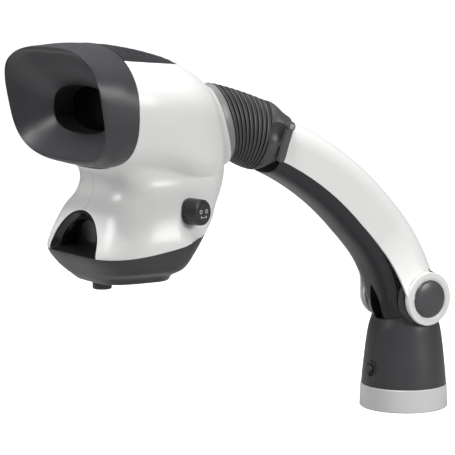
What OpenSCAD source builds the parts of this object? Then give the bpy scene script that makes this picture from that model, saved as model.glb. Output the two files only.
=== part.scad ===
// Stereo microscope: a viewing head with a hood, carried through a bellows-covered
// tilt joint by a curved, spring-balanced arm that pivots on a swivel base.
// Millimetres, +Z up. The user sits on the -Y side and +X is the user's right.
// The origin is the centre of the face under the base ring.

/* [Base ring and swivel] */
// Diameter of the base ring at its foot
ring_d = 100; // [98:0.5:106]
// Height of the base ring
ring_h = 26; // [22:0.5:30]
// Pitch circle of the holes that bolt the ring to a stand
bolt_circle_d = 72; // [66:0.5:78]
// Diameter of each mounting hole
bolt_hole_d = 6.6; // [4.5:0.1:8]
// Diameter of the swivel spindle
spindle_d = 36; // [30:0.5:40]
// Diametral running clearance of turned fits
running_fit = 0.08; // [0.04:0.01:0.12]
// Gap left between parts that move past each other
gap = 0.3; // [0.3:0.05:0.45]

/* [Base housing] */
// Wall of the two cast base shells
base_wall = 4; // [3:0.25:5]
// Thickness of each ear beside the arm
ear_t = 6.5; // [5.5:0.25:7.5]
// Distance between the two ears
ear_gap = 59; // [57:0.5:61]
// Outer radius of the rounded ear
ear_r = 32; // [30:0.5:33]
// Radius of the saddle that the foot of the arm swings in
saddle_r = 43; // [42:0.25:44]
// Diameter of the lock button
button_d = 9; // [7:0.5:10]
// Travel of the lock button
button_travel = 3; // [2:0.25:3.5]

/* [Arm] */
// Height of the arm pivot above the mounting face
pivot_z = 128; // [126:0.5:131]
// Diameter of the pivot axle
axle_d = 12; // [10:0.5:14]
// Diameter of the round cheek at the pivot
cheek_d = 60; // [58:0.5:62]
// Diameter of the domed cap in each cheek
cap_d = 42; // [38:0.5:46]
// Half width of the arm along its upper part
arm_half_w = 28.5; // [27:0.25:30]
// Half width over the cheeks
cheek_half_w = 46; // [44.5:0.25:48]
// Depth of the pale top cover, crown to seam
cover_depth = 55; // [50:0.5:58]
// Depth of the dark under cover below the seam
lip_depth = 15.5; // [12:0.5:18]
// Radius of the arm's crown line near the pivot
arm_r_low = 185; // [180:1:190]
// Radius of the arm's crown line further up
arm_r_high = 385; // [378:1:392]
// Wall of the arm covers
cover_wall = 2.6; // [2:0.1:3]

/* [Neck] */
// Diameter of the tilt axle inside the bellows
tilt_axle_d = 9; // [8:0.5:10]
// Number of ribs of the bellows
rib_count = 9; // [8:1:11]
// Depth of each fold of the bellows
rib_depth = 3; // [2:0.25:4]
// Half width of the neck ring
neck_half_w = 30; // [29:0.25:32]
// Half height of the neck ring
neck_half_h = 43; // [42:0.25:44.5]
// Thickness of the neck ring
neck_ring_t = 10; // [9:0.5:11]
// Length of the clamp lever, pivot to tip
lever_len = 36; // [30:0.5:38]

/* [Head] */
// Wall of the two head shells
head_wall = 2.8; // [2.2:0.1:3.2]
// Wall of the hood
hood_wall = 3; // [2.6:0.1:3.6]
// Half width of the hood at its rim
rim_half_w = 101; // [98:0.5:104]
// Half height of the opening inside the rim
rim_half_h = 53; // [51:0.5:55]
// Half width of the viewing window
window_half_w = 60; // [54:0.5:64]
// Half height of the viewing window
window_half_h = 25; // [22:0.5:28]
// Half width of the arch at the front
arch_half_w = 48; // [44:0.5:50]
// Height of the arch above its foot
arch_h = 45; // [40:0.5:47]
// Number of louvres in the vent panel
louvre_count = 8; // [5:1:9]
// Half width of the vent panel where it meets the hood
vent_half_w = 70; // [62:0.5:74]
// Length of the vent panel
vent_len = 95; // [88:0.5:98]
// Diameter of the knob that sets the eye distance
knob_d = 27.5; // [24:0.5:29]
// Height of the knob's barrel
knob_h = 16; // [13:0.5:18]

/* [Optics] */
// Diameter of an objective barrel
objective_d = 20; // [18:0.5:22]
// Diameter of the rotating lens turret
turret_d = 78; // [77.5:0.25:78.5]
// Distance of each objective from the turret's axis
objective_offset = 28.5; // [28:0.25:28.75]
// Distance between the two pupil mirrors
pupil_distance = 64; // [60:0.5:68]

/* [Hidden] */
$fn = 64;
far = 600;
white = "#e8e8e4";
dark = "#3c3c3e";
black = "#242426";
metal = "#b9bcbf";
brass = "#b8974e";
glass = "#7f97a8";

// ---- shared curves ---------------------------------------------------------

function mix(a, b, t) = a + (b - a) * t;
function spow(v, e) = sign(v) * pow(abs(v), e);

// row of a table that station s falls in
function row_at(table, s, i = 0) =
    i >= len(table) - 2 || s < table[i + 1][0] ? i : row_at(table, s, i + 1);

// slope of column c at row i, from the rows on either side
function slope_at(table, i, c) =
    let (a = table[max(i - 1, 0)], b = table[min(i + 1, len(table) - 1)])
    (b[c] - a[c]) / (b[0] - a[0]);

// value of column c at station s, on a smooth curve through the rows
function along(table, s, c) =
    let (i = row_at(table, s), a = table[i], b = table[i + 1],
        h = b[0] - a[0], t = (s - a[0]) / h,
        ma = slope_at(table, i, c) * h, mb = slope_at(table, i + 1, c) * h)
    a[c] * (2 * t * t * t - 3 * t * t + 1) + ma * (t * t * t - 2 * t * t + t)
        + b[c] * (3 * t * t - 2 * t * t * t) + mb * (t * t * t - t * t);

// closed skin over rings that all have the same number of points
module loft(rings) {
    n = len(rings[0]);
    m = len(rings);
    polyhedron(
        points = [for (ring = rings) each ring],
        faces = concat(
            [[for (j = [0 : n - 1]) j]],
            [for (i = [0 : m - 2], j = [0 : n - 1])
                let (a = i * n + j, b = i * n + (j + 1) % n)
                each [[a, a + n, b], [b, a + n, b + n]]],
            [[for (j = [n - 1 : -1 : 0]) (m - 1) * n + j]]));
}

// closed skin over rings whose last ring joins the first, like a bent tube wall
module loop_loft(rings) {
    n = len(rings[0]);
    m = len(rings);
    polyhedron(
        points = [for (ring = rings) each ring],
        faces = [for (i = [0 : m - 1], j = [0 : n - 1])
            let (a = i * n + j, b = i * n + (j + 1) % n,
                c = ((i + 1) % m) * n + j, d = ((i + 1) % m) * n + (j + 1) % n)
            each [[a, c, b], [b, c, d]]]);
}

// everything on one side of the plane X = 0
module half_space(side) {
    translate([side > 0 ? 0 : -far, -far, -far])
        cube([far, 2 * far, 2 * far]);
}

// a cylinder or tube lying along X, centred on [x, y, z]
module rod_x(p, d, len, bore = 0) {
    translate([p[0] - len / 2, p[1], p[2]])
        rotate([0, 90, 0])
            difference() {
                cylinder(d = d, h = len);
                if (bore > 0)
                    translate([0, 0, -1])
                        cylinder(d = bore, h = len + 2);
            }
}

// a screw whose head lies below z = 0 and whose shank points down
module screw(d, len, head_h) {
    translate([0, 0, -len])
        cylinder(d = d, h = len - head_h);
    translate([0, 0, -head_h])
        cylinder(d = d * 1.1, h = head_h);
}

// ---- base ------------------------------------------------------------------

washer_t = 1.5;
washer_d = 62;
shell_z = ring_h + 0.4;
circlip_t = 2.2;
circlip_d = spindle_d + 8;
recess_h = 5;
flange_z = ring_h + washer_t + gap;
flange_t = 6;
flange_d = 78;
pivot = [0, 0, pivot_z];
ear_half_w = ear_gap / 2 + ear_t;
ring_bore = spindle_d + running_fit;

module mount_ring() {
    color("#d8d9d7")
        difference() {
            rotate_extrude($fn = 128)
                polygon([[0, 0], [ring_d / 2 - 1, 0], [ring_d / 2, 1],
                    [ring_d / 2 - 0.8, ring_h - 1], [ring_d / 2 - 1.8, ring_h],
                    [0, ring_h]]);
            translate([0, 0, -1])
                cylinder(d = ring_bore, h = ring_h + 2);
            translate([0, 0, -1])
                cylinder(d = circlip_d + 2, h = recess_h + 1);
            for (k = [0 : 3])
                rotate(45 + 90 * k)
                    translate([bolt_circle_d / 2, 0, -1])
                        cylinder(d = bolt_hole_d, h = ring_h + 2, $fn = 32);
        }
}

module thrust_washer() {
    color("#e9e6da")
        translate([0, 0, ring_h])
            difference() {
                cylinder(d = washer_d, h = washer_t);
                translate([0, 0, -1])
                    cylinder(d = spindle_d + 1, h = washer_t + 2);
            }
}

module swivel_spindle() {
    groove_z = recess_h - gap - circlip_t;
    color(metal)
        difference() {
            union() {
                translate([0, 0, 1])
                    cylinder(d = spindle_d, h = flange_z);
                translate([0, 0, flange_z])
                    cylinder(d = flange_d, h = flange_t);
            }
            translate([0, 0, -1])
                cylinder(d = spindle_d - 12, h = flange_z + flange_t + 2);
            translate([0, 0, groove_z])
                difference() {
                    cylinder(d = spindle_d + 2, h = circlip_t);
                    translate([0, 0, -1])
                        cylinder(d = spindle_d - 3, h = circlip_t + 2);
                }
        }
}

module spindle_circlip() {
    color(metal)
        translate([0, 0, recess_h - gap - circlip_t + 0.1])
            difference() {
                cylinder(d = circlip_d, h = circlip_t - 0.2);
                translate([0, 0, -1])
                    cylinder(d = spindle_d - 2.6, h = circlip_t + 2);
                translate([-2, 0, -1])
                    cube([4, circlip_d, circlip_t + 2]);
            }
}

// rows: height, half width across the ears, half depth, roundness of the section
base_rows = [
    [shell_z, 48.4, 48.4, 2],
    [40, 47.4, 47.2, 2],
    [56, 45.6, 45, 2.05],
    [75, 43, 42, 2.15],
    [92, ear_half_w + 4.6, 38.6, 2.2],
    [104, ear_half_w + 1.6, 34, 2.3],
    [118, ear_half_w, 29, 2.6],
    [130, ear_half_w, 26, 3]];
base_points = 32;
base_floor_z = flange_z + flange_t;
post_places = [[-30, 66], [30, 66]];
post_d = 9;
button_z = 47;
button_axis_y = -along(base_rows, button_z, 2);
bezel_d = 17;
bezel_depth = 7;

function base_ring(z, inset) = [for (k = [0 : base_points - 1])
    let (a = 360 * k / base_points, e = 2 / along(base_rows, z, 3))
    [(along(base_rows, z, 1) - inset) * spow(cos(a), e),
        (along(base_rows, z, 2) - inset) * spow(sin(a), e), z]];

module base_solid(inset, z0, z1, steps = 8) {
    loft([for (k = [0 : steps]) base_ring(mix(z0, z1, k / steps), inset)]);
}

// screw posts that span the two shells, each braced by drafted ribs
module base_posts() {
    for (p = post_places) {
        rod_x([0, p[0], p[1]], post_d, 60, 0, $fn = 20);
        for (a = [0, 90, 180, 270])
            hull() {
                rod_x([0, p[0], p[1]], 2, 50, 0, $fn = 6);
                rod_x([0, p[0] + post_d * cos(a), p[1] + post_d * sin(a)], 1.2, 50, 0, $fn = 6);
            }
    }
}

// half widths and radii of the saddle's section, turned about the pivot axis
saddle_shape = [[0, 0], [8, -0.5], [13, -2], [19, -4.5], [24, -7.6], [27.5, -10.5],
    [ear_gap / 2, -13]];

// body turned about the pivot axis that just fills the saddle, grown by g
module saddle_body(g) {
    n = len(saddle_shape) - 1;
    half = [for (q = saddle_shape) [saddle_r + q[1] + g, q[0] + min(g, 0)]];
    translate(pivot)
        rotate([0, 90, 0])
            rotate_extrude($fn = 60)
                polygon(concat([[0, half[n][1]]], [for (k = [n : -1 : 0]) half[k]],
                    [for (k = [1 : n]) [half[k][0], -half[k][1]]], [[0, -half[n][1]]]));
}

// rounded disc of one ear
module ear_disc(s) {
    translate([0, 0, pivot_z])
        rotate([0, s * 90, 0])
            rotate_extrude($fn = 60)
                polygon([[0, ear_gap / 2 - 1], [ear_r, ear_gap / 2 - 1],
                    [ear_r, ear_gap / 2 + ear_t - 4.5], [ear_r - 2.4, ear_half_w - 1.6],
                    [ear_r - 5.5, ear_half_w], [0, ear_half_w]]);
}

// the two shells before they are parted: a bell with a saddle between two ears
module base_housing() {
    difference() {
        union() {
            base_solid(0, shell_z, 118);
            for (s = [-1, 1])
                ear_disc(s);
        }
        difference() {
            base_solid(base_wall, base_floor_z + 0.3, pivot_z - saddle_r, 4);
            rod_x(pivot, 2 * (saddle_r + base_wall), 200, 0, $fn = 48);
            intersection() {
                base_posts();
                translate([-far / 2, -far / 2, base_floor_z + 4])
                    cube(far);
            }
        }
        // seat of the spindle's flange
        translate([0, 0, shell_z - 1])
            cylinder(d = flange_d + gap, h = base_floor_z + 0.3 - shell_z + 1.01);
        // recesses for the round cheeks of the arm
        for (s = [-1, 1])
            rod_x([s * (ear_half_w + 0.7 + 20), 0, pivot_z], cheek_d + 4 * gap, 40, 0, $fn = 48);
        // saddle between the ears
        saddle_body(0);
        translate([-ear_gap / 2, -far / 2, pivot_z - 17])
            cube([ear_gap, far, 100]);
        rod_x(pivot, axle_d + 6 + 2 * gap, 200, 0, $fn = 32);
        translate([0, button_axis_y - 8, button_z])
            rotate([-90, 0, 0])
                cylinder(d = bezel_d + 2 * gap, h = 24, $fn = 32);
        for (p = post_places)
            rod_x([0, p[0], p[1]], 3.6, 50, 0, $fn = 12);
    }
}

module base_shell(side) {
    color(dark)
        intersection() {
            base_housing();
            half_space(side);
        }
}

module base_shell_left() {
    base_shell(-1);
}

module base_shell_right() {
    base_shell(1);
}

module base_screws() {
    color(metal)
        for (p = post_places)
            translate([24, p[0], p[1]])
                rotate([0, 90, 0])
                    screw(3, 46, 3);
}

module pivot_bushes() {
    color(brass)
        for (s = [-1, 1])
            rod_x([s * (ear_gap + ear_t) / 2, 0, pivot_z], axle_d + 6, ear_t + 0.6,
                axle_d + running_fit);
}

// ---- lock button -----------------------------------------------------------

bezel_y = button_axis_y - 1.2;
collar_h = 2;
collar_y = bezel_depth + button_travel + 1.2;
cage_r = button_d / 2 + 2.1;
spring_len = 5.6;
cage_depth = collar_y + collar_h + gap + spring_len + 1.5;

module button_bezel() {
    color(black)
        translate([0, bezel_y, button_z])
            rotate([-90, 0, 0])
                rotate_extrude()
                    polygon([[button_d / 2 + gap, 1], [bezel_d / 2 - 1.2, 0],
                        [bezel_d / 2, 1.2], [bezel_d / 2, bezel_depth],
                        [bezel_d / 2 - 0.5, bezel_depth], [bezel_d / 2 - 0.5, cage_depth],
                        [0, cage_depth], [0, cage_depth - 1.5],
                        [cage_r, cage_depth - 1.5], [cage_r, bezel_depth],
                        [button_d / 2 + gap, bezel_depth]]);
}

module lock_button() {
    color(dark)
        translate([0, bezel_y - button_travel - 0.6, button_z])
            rotate([-90, 0, 0])
                rotate_extrude()
                    polygon([[0, 0], [button_d / 2 - 1, 0], [button_d / 2, 1],
                        [button_d / 2, collar_y], [button_d / 2 + 1.6, collar_y],
                        [button_d / 2 + 1.6, collar_y + collar_h],
                        [0, collar_y + collar_h]]);
}

// ring of a wire that winds round a helix
function helix_ring(r, pitch, wire, angle, sides) =
    [for (j = [0 : sides - 1])
        let (b = 360 * j / sides, q = r + wire / 2 * cos(b))
        [q * cos(angle), q * sin(angle), pitch * angle / 360 - wire / 2 * sin(b)]];

module helix(r, pitch, wire, turns, sides = 5, steps = 9) {
    loft([for (k = [0 : turns * steps])
        helix_ring(r, pitch, wire, 360 * k / steps, sides)]);
}

module button_spring() {
    color(metal)
        translate([0, bezel_y + cage_depth - 1.5 - spring_len + 0.4, button_z])
            rotate([-90, 0, 0])
                helix(3.4, 1.6, 0.8, 3);
}

// ---- arm -------------------------------------------------------------------

// heading of the crown line, in degrees from level, at its foot, bend and end
heading_foot = 80;
heading_bend = 50;
heading_end = 21;
crown_foot = [25, pivot_z + 10];
crown_bend = arc_point(crown_foot, arm_r_low, heading_foot, heading_bend);
crown_drop = 27;
seam_rise = 7;
heading_rise = 44;

function arc_point(p, r, a, b) =
    [p[0] - r * (sin(a) - sin(b)), p[1] + r * (cos(b) - cos(a))];

// crown point, [y, z], where the arm has this heading
function crown(h) = h >= heading_bend
    ? arc_point(crown_foot, arm_r_low, heading_foot, h)
    : arc_point(crown_bend, arm_r_high, heading_bend, h);

// half width of the arm where it has this heading, flaring towards the cheeks
function arm_w(h) =
    mix(arm_half_w, cheek_half_w, pow(max(0, (h - 40) / (heading_foot - 40)), 1.7));

// depth of the seam under the crown, less towards the neck
function seam_d(h) = cover_depth
    - seam_rise * max(0, heading_rise - h) / (heading_rise - heading_end);

// point of the arm at heading h, x across and d down from the crown
function arm_point(h, x, d) =
    [x, crown(h)[0] - d * sin(h), crown(h)[1] - d * cos(h)];

arm_stations = [heading_foot, 72, 64, 57, heading_bend, 42, 35, 28, heading_end];
cheek_in = ear_half_w + 1;
crown_steps = 5;

// section under the crown, closed below the seam's depth by extra
function cover_ring(h, inset, extra) =
    let (w = arm_w(h) - inset, depth = seam_d(h) + extra,
        side = [for (k = [0 : crown_steps - 1]) let (a = 90 * k / crown_steps)
            [w * pow(cos(a), 0.85), inset + crown_drop * (1 - pow(sin(a), 0.85))]])
    concat(
        [arm_point(h, w, depth)],
        [for (q = side) arm_point(h, q[0], q[1])],
        [arm_point(h, 0, inset)],
        [for (k = [crown_steps - 1 : -1 : 0]) arm_point(h, -side[k][0], side[k][1])],
        [arm_point(h, -w, depth)]);

rib_headings = [31, 38.5, 46, 53.5];

// stiffening ribs inside the two side walls
module cover_ribs(w_in, d0, d1) {
    for (h = rib_headings, s = [-1, 1])
        hull() {
            translate(arm_point(h, s * (w_in(h) + 0.6), d0))
                sphere(d = 2, $fn = 6);
            translate(arm_point(h, s * (w_in(h) + 0.6), d1))
                sphere(d = 2, $fn = 6);
            translate(arm_point(h, s * (w_in(h) - 1), (d0 + d1) / 2))
                sphere(d = 1.4, $fn = 6);
        }
}

// round plate outside each ear, with the edge of the cover running into it
module arm_cheek(s) {
    rim = 4;
    rod_x([s * (cheek_in + cheek_half_w) / 2, 0, pivot_z], cheek_d - 5,
        cheek_half_w - cheek_in, 0, $fn = 48);
    rod_x([s * (cheek_half_w - rim / 2), 0, pivot_z], cheek_d, rim, 0, $fn = 48);
    intersection() {
        loft([for (h = arm_stations) cover_ring(h, 0, 0)]);
        translate([s > 0 ? cheek_in : -100, -70, 100])
            cube([100 - cheek_in, 140, 82]);
    }
}

module arm_top_cover() {
    color(white)
        difference() {
            union() {
                difference() {
                    loft([for (h = arm_stations) cover_ring(h, 0, 0)]);
                    loft([for (h = concat([heading_foot + 1], arm_stations,
                        [heading_end - 1]))
                        cover_ring(h, cover_wall, 6)]);
                }
                cover_ribs(function (h) arm_w(h) - cover_wall, 20, 40);
                for (s = [-1, 1])
                    arm_cheek(s);
            }
            // room for the ears inside, for the axle and for the domed caps
            rod_x(pivot, 2 * (ear_r + 1.2), 2 * cheek_in, 0, $fn = 48);
            rod_x(pivot, axle_d + 2 * gap, 200, 0, $fn = 32);
            for (s = [-1, 1])
                rod_x([s * (cheek_half_w + 1), 0, pivot_z], cap_d + 2 * gap, 10, 0, $fn = 48);
        }
}

// the under cover: a channel whose tongue stands inside the top cover
under_w = arm_half_w - 0.6;
tongue_w = arm_half_w - cover_wall - gap;
tongue_h = 8;
under_round = 22;

// section of the channel's outside (t = 0) or inside, from d0 below the seam
function under_ring(h, w, d0, t, shift) =
    let (top = seam_d(h) + d0,
        low = seam_d(h) + lip_depth - max(0, h - 64) * 0.12 - t,
        half = [for (k = [1 : 5]) let (a = 90 * k / 5)
            [w * pow(cos(a), 0.7), max(top + 0.4, low - under_round * (1 - pow(sin(a), 0.7)))]])
    [for (q = concat([[-w, top]], [for (k = [0 : 3]) [-half[k][0], half[k][1]]],
            [[0, low]], [for (k = [3 : -1 : 0]) half[k]], [[w, top]]))
        arm_point(h, q[0], q[1]) + shift * [0, cos(heading_foot), -sin(heading_foot)]];

// how far the seam's tongue stands inside the upper cover's wall
tongue_in = 0.8;

module under_solid(w, d0, t, run) {
    loft(concat(
        [under_ring(heading_foot, w, d0, t, 34 + run), under_ring(heading_foot, w, d0, t, 16)],
        [for (h = arm_stations) under_ring(h, w, d0, t, 0)],
        run > 0 ? [under_ring(heading_end - 1, w, d0, t, 0)] : []));
}

slot_w = 18;
slot_z0 = 84;
slot_apex = pivot_z + 15;

module arm_lower_cover() {
    color("#2b2c30")
        difference() {
            union() {
                difference() {
                    union() {
                        under_solid(under_w, gap, 0, 0);
                        under_solid(tongue_w, -tongue_h, tongue_in, 0);
                    }
                    under_solid(tongue_w - cover_wall, -tongue_h - 4, cover_wall, 3);
                }
                cover_ribs(function (h) tongue_w - cover_wall, cover_depth - 8, cover_depth + 4);
            }
            // foot rounded about the pivot, so that it swings in the saddle
            difference() {
                translate([-60, -120, 40])
                    cube([120, 240, pivot_z - 44]);
                saddle_body(-0.5);
            }
            // back of the foot stays clear of the top cover
            translate([-60, 6, 60])
                cube([120, 60, pivot_z + 30 - 60]);
            rod_x(pivot, axle_d + 2 * gap, 200);
            // pointed slot in the front of the foot
            translate([0, -20, 0])
                rotate([90, 0, 0])
                    linear_extrude(60)
                        polygon([[-slot_w / 2, slot_z0], [slot_w / 2, slot_z0],
                            [slot_w / 2, slot_apex - 24], [slot_w / 4, slot_apex - 8],
                            [0, slot_apex], [-slot_w / 4, slot_apex - 8],
                            [-slot_w / 2, slot_apex - 24]]);
        }
}

beam_half_w = 11;
beam_top = 18;
beam_low = 44;
beam_stations = [for (h = arm_stations) if (h < 76) h];

function beam_point(h, d) = let (p = arm_point(h, 0, d)) [p[1], p[2]];

module arm_beam() {
    color(metal)
        difference() {
            union() {
                rotate([90, 0, 90])
                    translate([0, 0, -beam_half_w])
                        linear_extrude(2 * beam_half_w)
                            polygon(concat(
                                [for (h = beam_stations) beam_point(h, beam_top)],
                                [for (k = [len(beam_stations) - 1 : -1 : 0])
                                    beam_point(beam_stations[k], beam_low)]));
                rod_x(pivot, 34, 2 * beam_half_w + 4);
            }
            rod_x(pivot, axle_d + 0.02, 60);
        }
}

module pivot_axle() {
    color(metal)
        rod_x(pivot, axle_d, 2 * (cheek_half_w - 6.5));
}

spring_r = 15;
spring_wire = 2.6;

module balance_spring() {
    color(metal)
        for (s = [-1, 1])
            translate([s * (beam_half_w + 4.2), 0, pivot_z])
                rotate([0, s * 90, 0])
                    helix(spring_r, 2.9, spring_wire, 4);
}

// shallow domed cap that snaps into a cheek
module pivot_cap(s) {
    color("#4b4b4d")
        translate([s * (cheek_half_w - 3.6), 0, pivot_z])
            rotate([0, s * 90, 0])
                rotate_extrude($fn = 96)
                    polygon(concat([[0, 0], [cap_d / 2, 0]],
                        [for (k = [0 : 8]) let (a = 90 * k / 8)
                            [cap_d / 2 * cos(a), 3.6 + 4.6 * sin(a)]]));
}

module pivot_cap_left() {
    pivot_cap(-1);
}

module pivot_cap_right() {
    pivot_cap(1);
}

// ---- neck ------------------------------------------------------------------

// planes of the two ends of the bellows: [y, z], lean and half sizes
block_front = [-203, 318.5];
block_lean = -14.5;
block_half_w = 28;
block_half_h = 38;
neck_front = [-260, 332.6];
neck_lean = 14.5;
neck_back = neck_front + neck_ring_t * [cos(neck_lean), sin(neck_lean)];
tilt_pivot = [0, -227.5, 325];
neck_points = 32;

// ring of a rounded section that leans back by a: n = 2 is an ellipse
function neck_section(c, a, w, h, n, points = neck_points) = [for (k = [0 : points - 1])
    let (t = 360 * k / points, v = h * spow(sin(t), 2 / n))
    [w * spow(cos(t), 2 / n), c[0] - sin(a) * v, c[1] + cos(a) * v]];

block_rear = beam_point(heading_end, 25) + gap * [-cos(heading_end), sin(heading_end)];
lever_axis = [0, -180.6, 328.4];
lever_t = 6;
lever_half_w = 3.6;
lever_rest = 19;
block_face = 28.4;

module neck_block() {
    color(dark)
        difference() {
            union() {
                loft([neck_section(block_rear, -heading_end, 29.4, 26.6, 3.8),
                    neck_section([-189, 314.6], -19, 29.6, 31, 3.2),
                    neck_section([-198, 317.4], -16, 29.2, 37.2, 2.5),
                    neck_section(block_front, block_lean, block_half_w, block_half_h, 2.1)]);
                // lug that carries the tilt axle
                translate([-9, -216, 311])
                    cube([18, 20, 22]);
                rod_x(tilt_pivot, 22, 18);
                translate([-9, tilt_pivot[1], tilt_pivot[2] - 11])
                    cube([18, 14, 22]);
            }
            rod_x(tilt_pivot, tilt_axle_d + 0.02, 40);
            rod_x(lever_axis, 6 + running_fit, 100);
            // flats that the lever and the nut seat on
            translate([block_face, -240, 260])
                cube([20, 100, 120]);
            translate([-20 - block_face, -240, 260])
                cube([20, 100, 120]);
            // finger scoop beside the lever
            translate([block_face + 17, -196, 321])
                sphere(r = 22);
        }
}

module tilt_axle() {
    color(metal)
        rod_x(tilt_pivot, tilt_axle_d, 38);
}

module clamp_nut() {
    color(metal)
        rod_x([-block_face - 2.2, lever_axis[1], lever_axis[2]], 10, 4, 6 + running_fit);
}

module clamp_lever() {
    color("#6a6a6a")
        translate([block_face + 0.4, lever_axis[1], lever_axis[2]])
            rotate([0, 90, 0])
                difference() {
                    union() {
                        cylinder(d = 10, h = lever_t);
                        rotate(-lever_rest)
                            translate([0, 0, 1])
                                lever_bar();
                    }
                    translate([0, 0, -1])
                        cylinder(d = 6.02, h = lever_t + 2);
                }
}

module lever_bar() {
    linear_extrude(lever_t - 1.4)
        polygon(concat([[0, -lever_half_w]],
            [for (k = [0 : 10]) let (a = mix(-90, 90, k / 10))
                [lever_len + lever_half_w * cos(a), lever_half_w * sin(a)]],
            [[0, lever_half_w]]));
}

module clamp_stud() {
    color("#e4e6e8")
        rod_x([(lever_t + 1.2 - 4.6) / 2, lever_axis[1], lever_axis[2]], 6,
            2 * block_face + lever_t + 5.8);
}

module neck_ring() {
    inner = 6;
    color("#7a7a78")
        difference() {
            loft([neck_section(neck_back, neck_lean, neck_half_w - 0.8, neck_half_h - 0.8, 2, 48),
                neck_section(neck_front, neck_lean, neck_half_w, neck_half_h, 2, 48)]);
            loft([neck_section(mix(neck_front, neck_back, 1.2), neck_lean,
                    neck_half_w - inner, neck_half_h - inner, 2, 32),
                neck_section(mix(neck_front, neck_back, -0.2), neck_lean,
                    neck_half_w - inner, neck_half_h - inner, 2, 32)]);
        }
}

// station t of the bellows, 0 at the block and 1 at the neck ring, grown by g
function bellows_ring(t, g) =
    neck_section(mix(bellows_from, bellows_to, t), mix(block_lean, neck_lean, t),
        mix(block_half_w, neck_half_w - 0.8, t) + g,
        mix(block_half_h, neck_half_h - 0.8, t) + g, 2, bellows_points);

bellows_points = 24;
bellows_from = block_front - 0.3 * [cos(block_lean), sin(block_lean)];
bellows_to = neck_back + 0.3 * [cos(neck_lean), sin(neck_lean)];

// one rib: the foot of the fold, then its flat crest
function rib_profile(k) = [[k, -rib_depth], [k + 0.3, 0], [k + 0.72, 0]];

module bellows() {
    wall = 2;
    color("#202022")
        loop_loft(concat(
            [for (k = [0 : rib_count - 1], q = rib_profile(k))
                bellows_ring(q[0] / rib_count, q[1])],
            [bellows_ring(1, -rib_depth)],
            [for (k = [4 : -1 : 0]) bellows_ring(k / 4, -rib_depth - wall)]));
}

fork_in = 9.5 + gap + 1.2;
fork_t = 5;

module tilt_fork() {
    color(metal)
        difference() {
            union() {
                for (s = [-1, 1]) {
                    rod_x([s * (fork_in + fork_t / 2), tilt_pivot[1], tilt_pivot[2]], 20, fork_t);
                    translate([s > 0 ? fork_in : -fork_in - fork_t, -284, tilt_pivot[2] - 10])
                        cube([fork_t, tilt_pivot[1] + 284, 20]);
                }
                translate([-24, -284, 302])
                    cube([48, 5, 56]);
            }
            rod_x(tilt_pivot, tilt_axle_d + running_fit, 60);
        }
}

module friction_washers() {
    color(brass)
        for (s = [-1, 1])
            rod_x([s * (9 + gap + fork_in - 0.1) / 2, tilt_pivot[1], tilt_pivot[2]], 18,
                fork_in - 9 - gap - 0.1, tilt_axle_d + 0.4);
}

// ---- head ------------------------------------------------------------------

// upper body, rows: y, centre height, half width, rise, drop, lean
upper_rows = [
    [-406, 358, 100, 63, 62, 0],
    [-380, 356, 98.5, 61.5, 66, 1],
    [-350, 352.5, 93, 59.5, 71, 3.5],
    [-320, 347.5, 81, 57, 72, 7],
    [-290, 341, 61, 52, 67, 11],
    [-272, 336, 42, 47, 54, 13.5],
    [-260, 332.6, 31, 43.6, 43.6, neck_lean]];

// lower body, rows: height, front y, back y, half width, roundness at the front
lower_rows = [
    [177, -409, -322.5, 44, 4],
    [183, -416, -321, 50, 4],
    [192, -422, -314, 72, 4],
    [207, -430, -303, 83, 4],
    [222, -426, -289.5, 85, 3.7],
    [238, -420, -275, 81, 3.4],
    [252, -414, -267, 75, 3.1],
    [264, -405, -258.5, 67, 3],
    [277, -402, -252, 59, 3],
    [290, -403, -250.5, 57, 3],
    [305, -404, -256, 57, 3],
    [330, -396, -266, 48, 3]];
body_mid_y = -352;
head_points = 36;
hood_plane = -406;

// ring of the upper body at station y, shrunk by t
function upper_ring(y, t, shift = 0) = [for (k = [0 : head_points - 1])
    let (a = 360 * k / head_points, e = 2 / (sin(a) > 0 ? 2.2 : 2.8),
        v = (along(upper_rows, y, sin(a) > 0 ? 3 : 4) - t) * spow(sin(a), e),
        lean = along(upper_rows, y, 5))
    [(along(upper_rows, y, 2) - t) * spow(cos(a), e),
        y + shift * cos(lean) - sin(lean) * v,
        along(upper_rows, y, 1) + shift * sin(lean) + cos(lean) * v]];

// ring of the lower body at height z, shrunk by t
function lower_ring(z, t) = [for (k = [0 : head_points - 1])
    let (a = 360 * k / head_points, e = 2 / (sin(a) > 0 ? 2 : along(lower_rows, z, 4)))
    [(along(lower_rows, z, 3) - t) * spow(cos(a), e),
        body_mid_y + (sin(a) > 0 ? along(lower_rows, z, 2) - body_mid_y - t
            : body_mid_y - along(lower_rows, z, 1) - t) * spow(sin(a), e), z]];

upper_stations = [-406, -390, -372, -352, -332, -312, -294, -280, -270, -260];
inner_stations = [-406, -380, -345, -310, -280, -260];

module upper_body(t, run = 0) {
    stations = run > 0 ? inner_stations : upper_stations;
    n = len(stations);
    loft([for (k = [n - 1 : -1 : 0])
        upper_ring(stations[k], t, k == 0 ? -run : k == n - 1 ? run : 0)]);
}

module lower_body(t, z0, z1 = 330, steps = 9) {
    loft([for (k = [0 : steps]) lower_ring(mix(z0, z1, k / steps), t)]);
}

// height of the joint between the white shells and the dark skirt
function trim_z(y) = 207 + 0.06 * (y + 430) + 0.0008 * (y + 430) * (y + 430);

// everything above (or below) the skirt's joint, moved up by up
module trim_side(above, up) {
    rotate([90, 0, 90])
        translate([0, 0, -150])
            linear_extrude(300)
                polygon(concat(
                    [for (k = [0 : 8]) let (y = mix(-440, -230, k / 8)) [y, trim_z(y) + up]],
                    [[-230, above ? 460 : 100], [-440, above ? 460 : 100]]));
}

arch_foot_z = 206;

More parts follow.
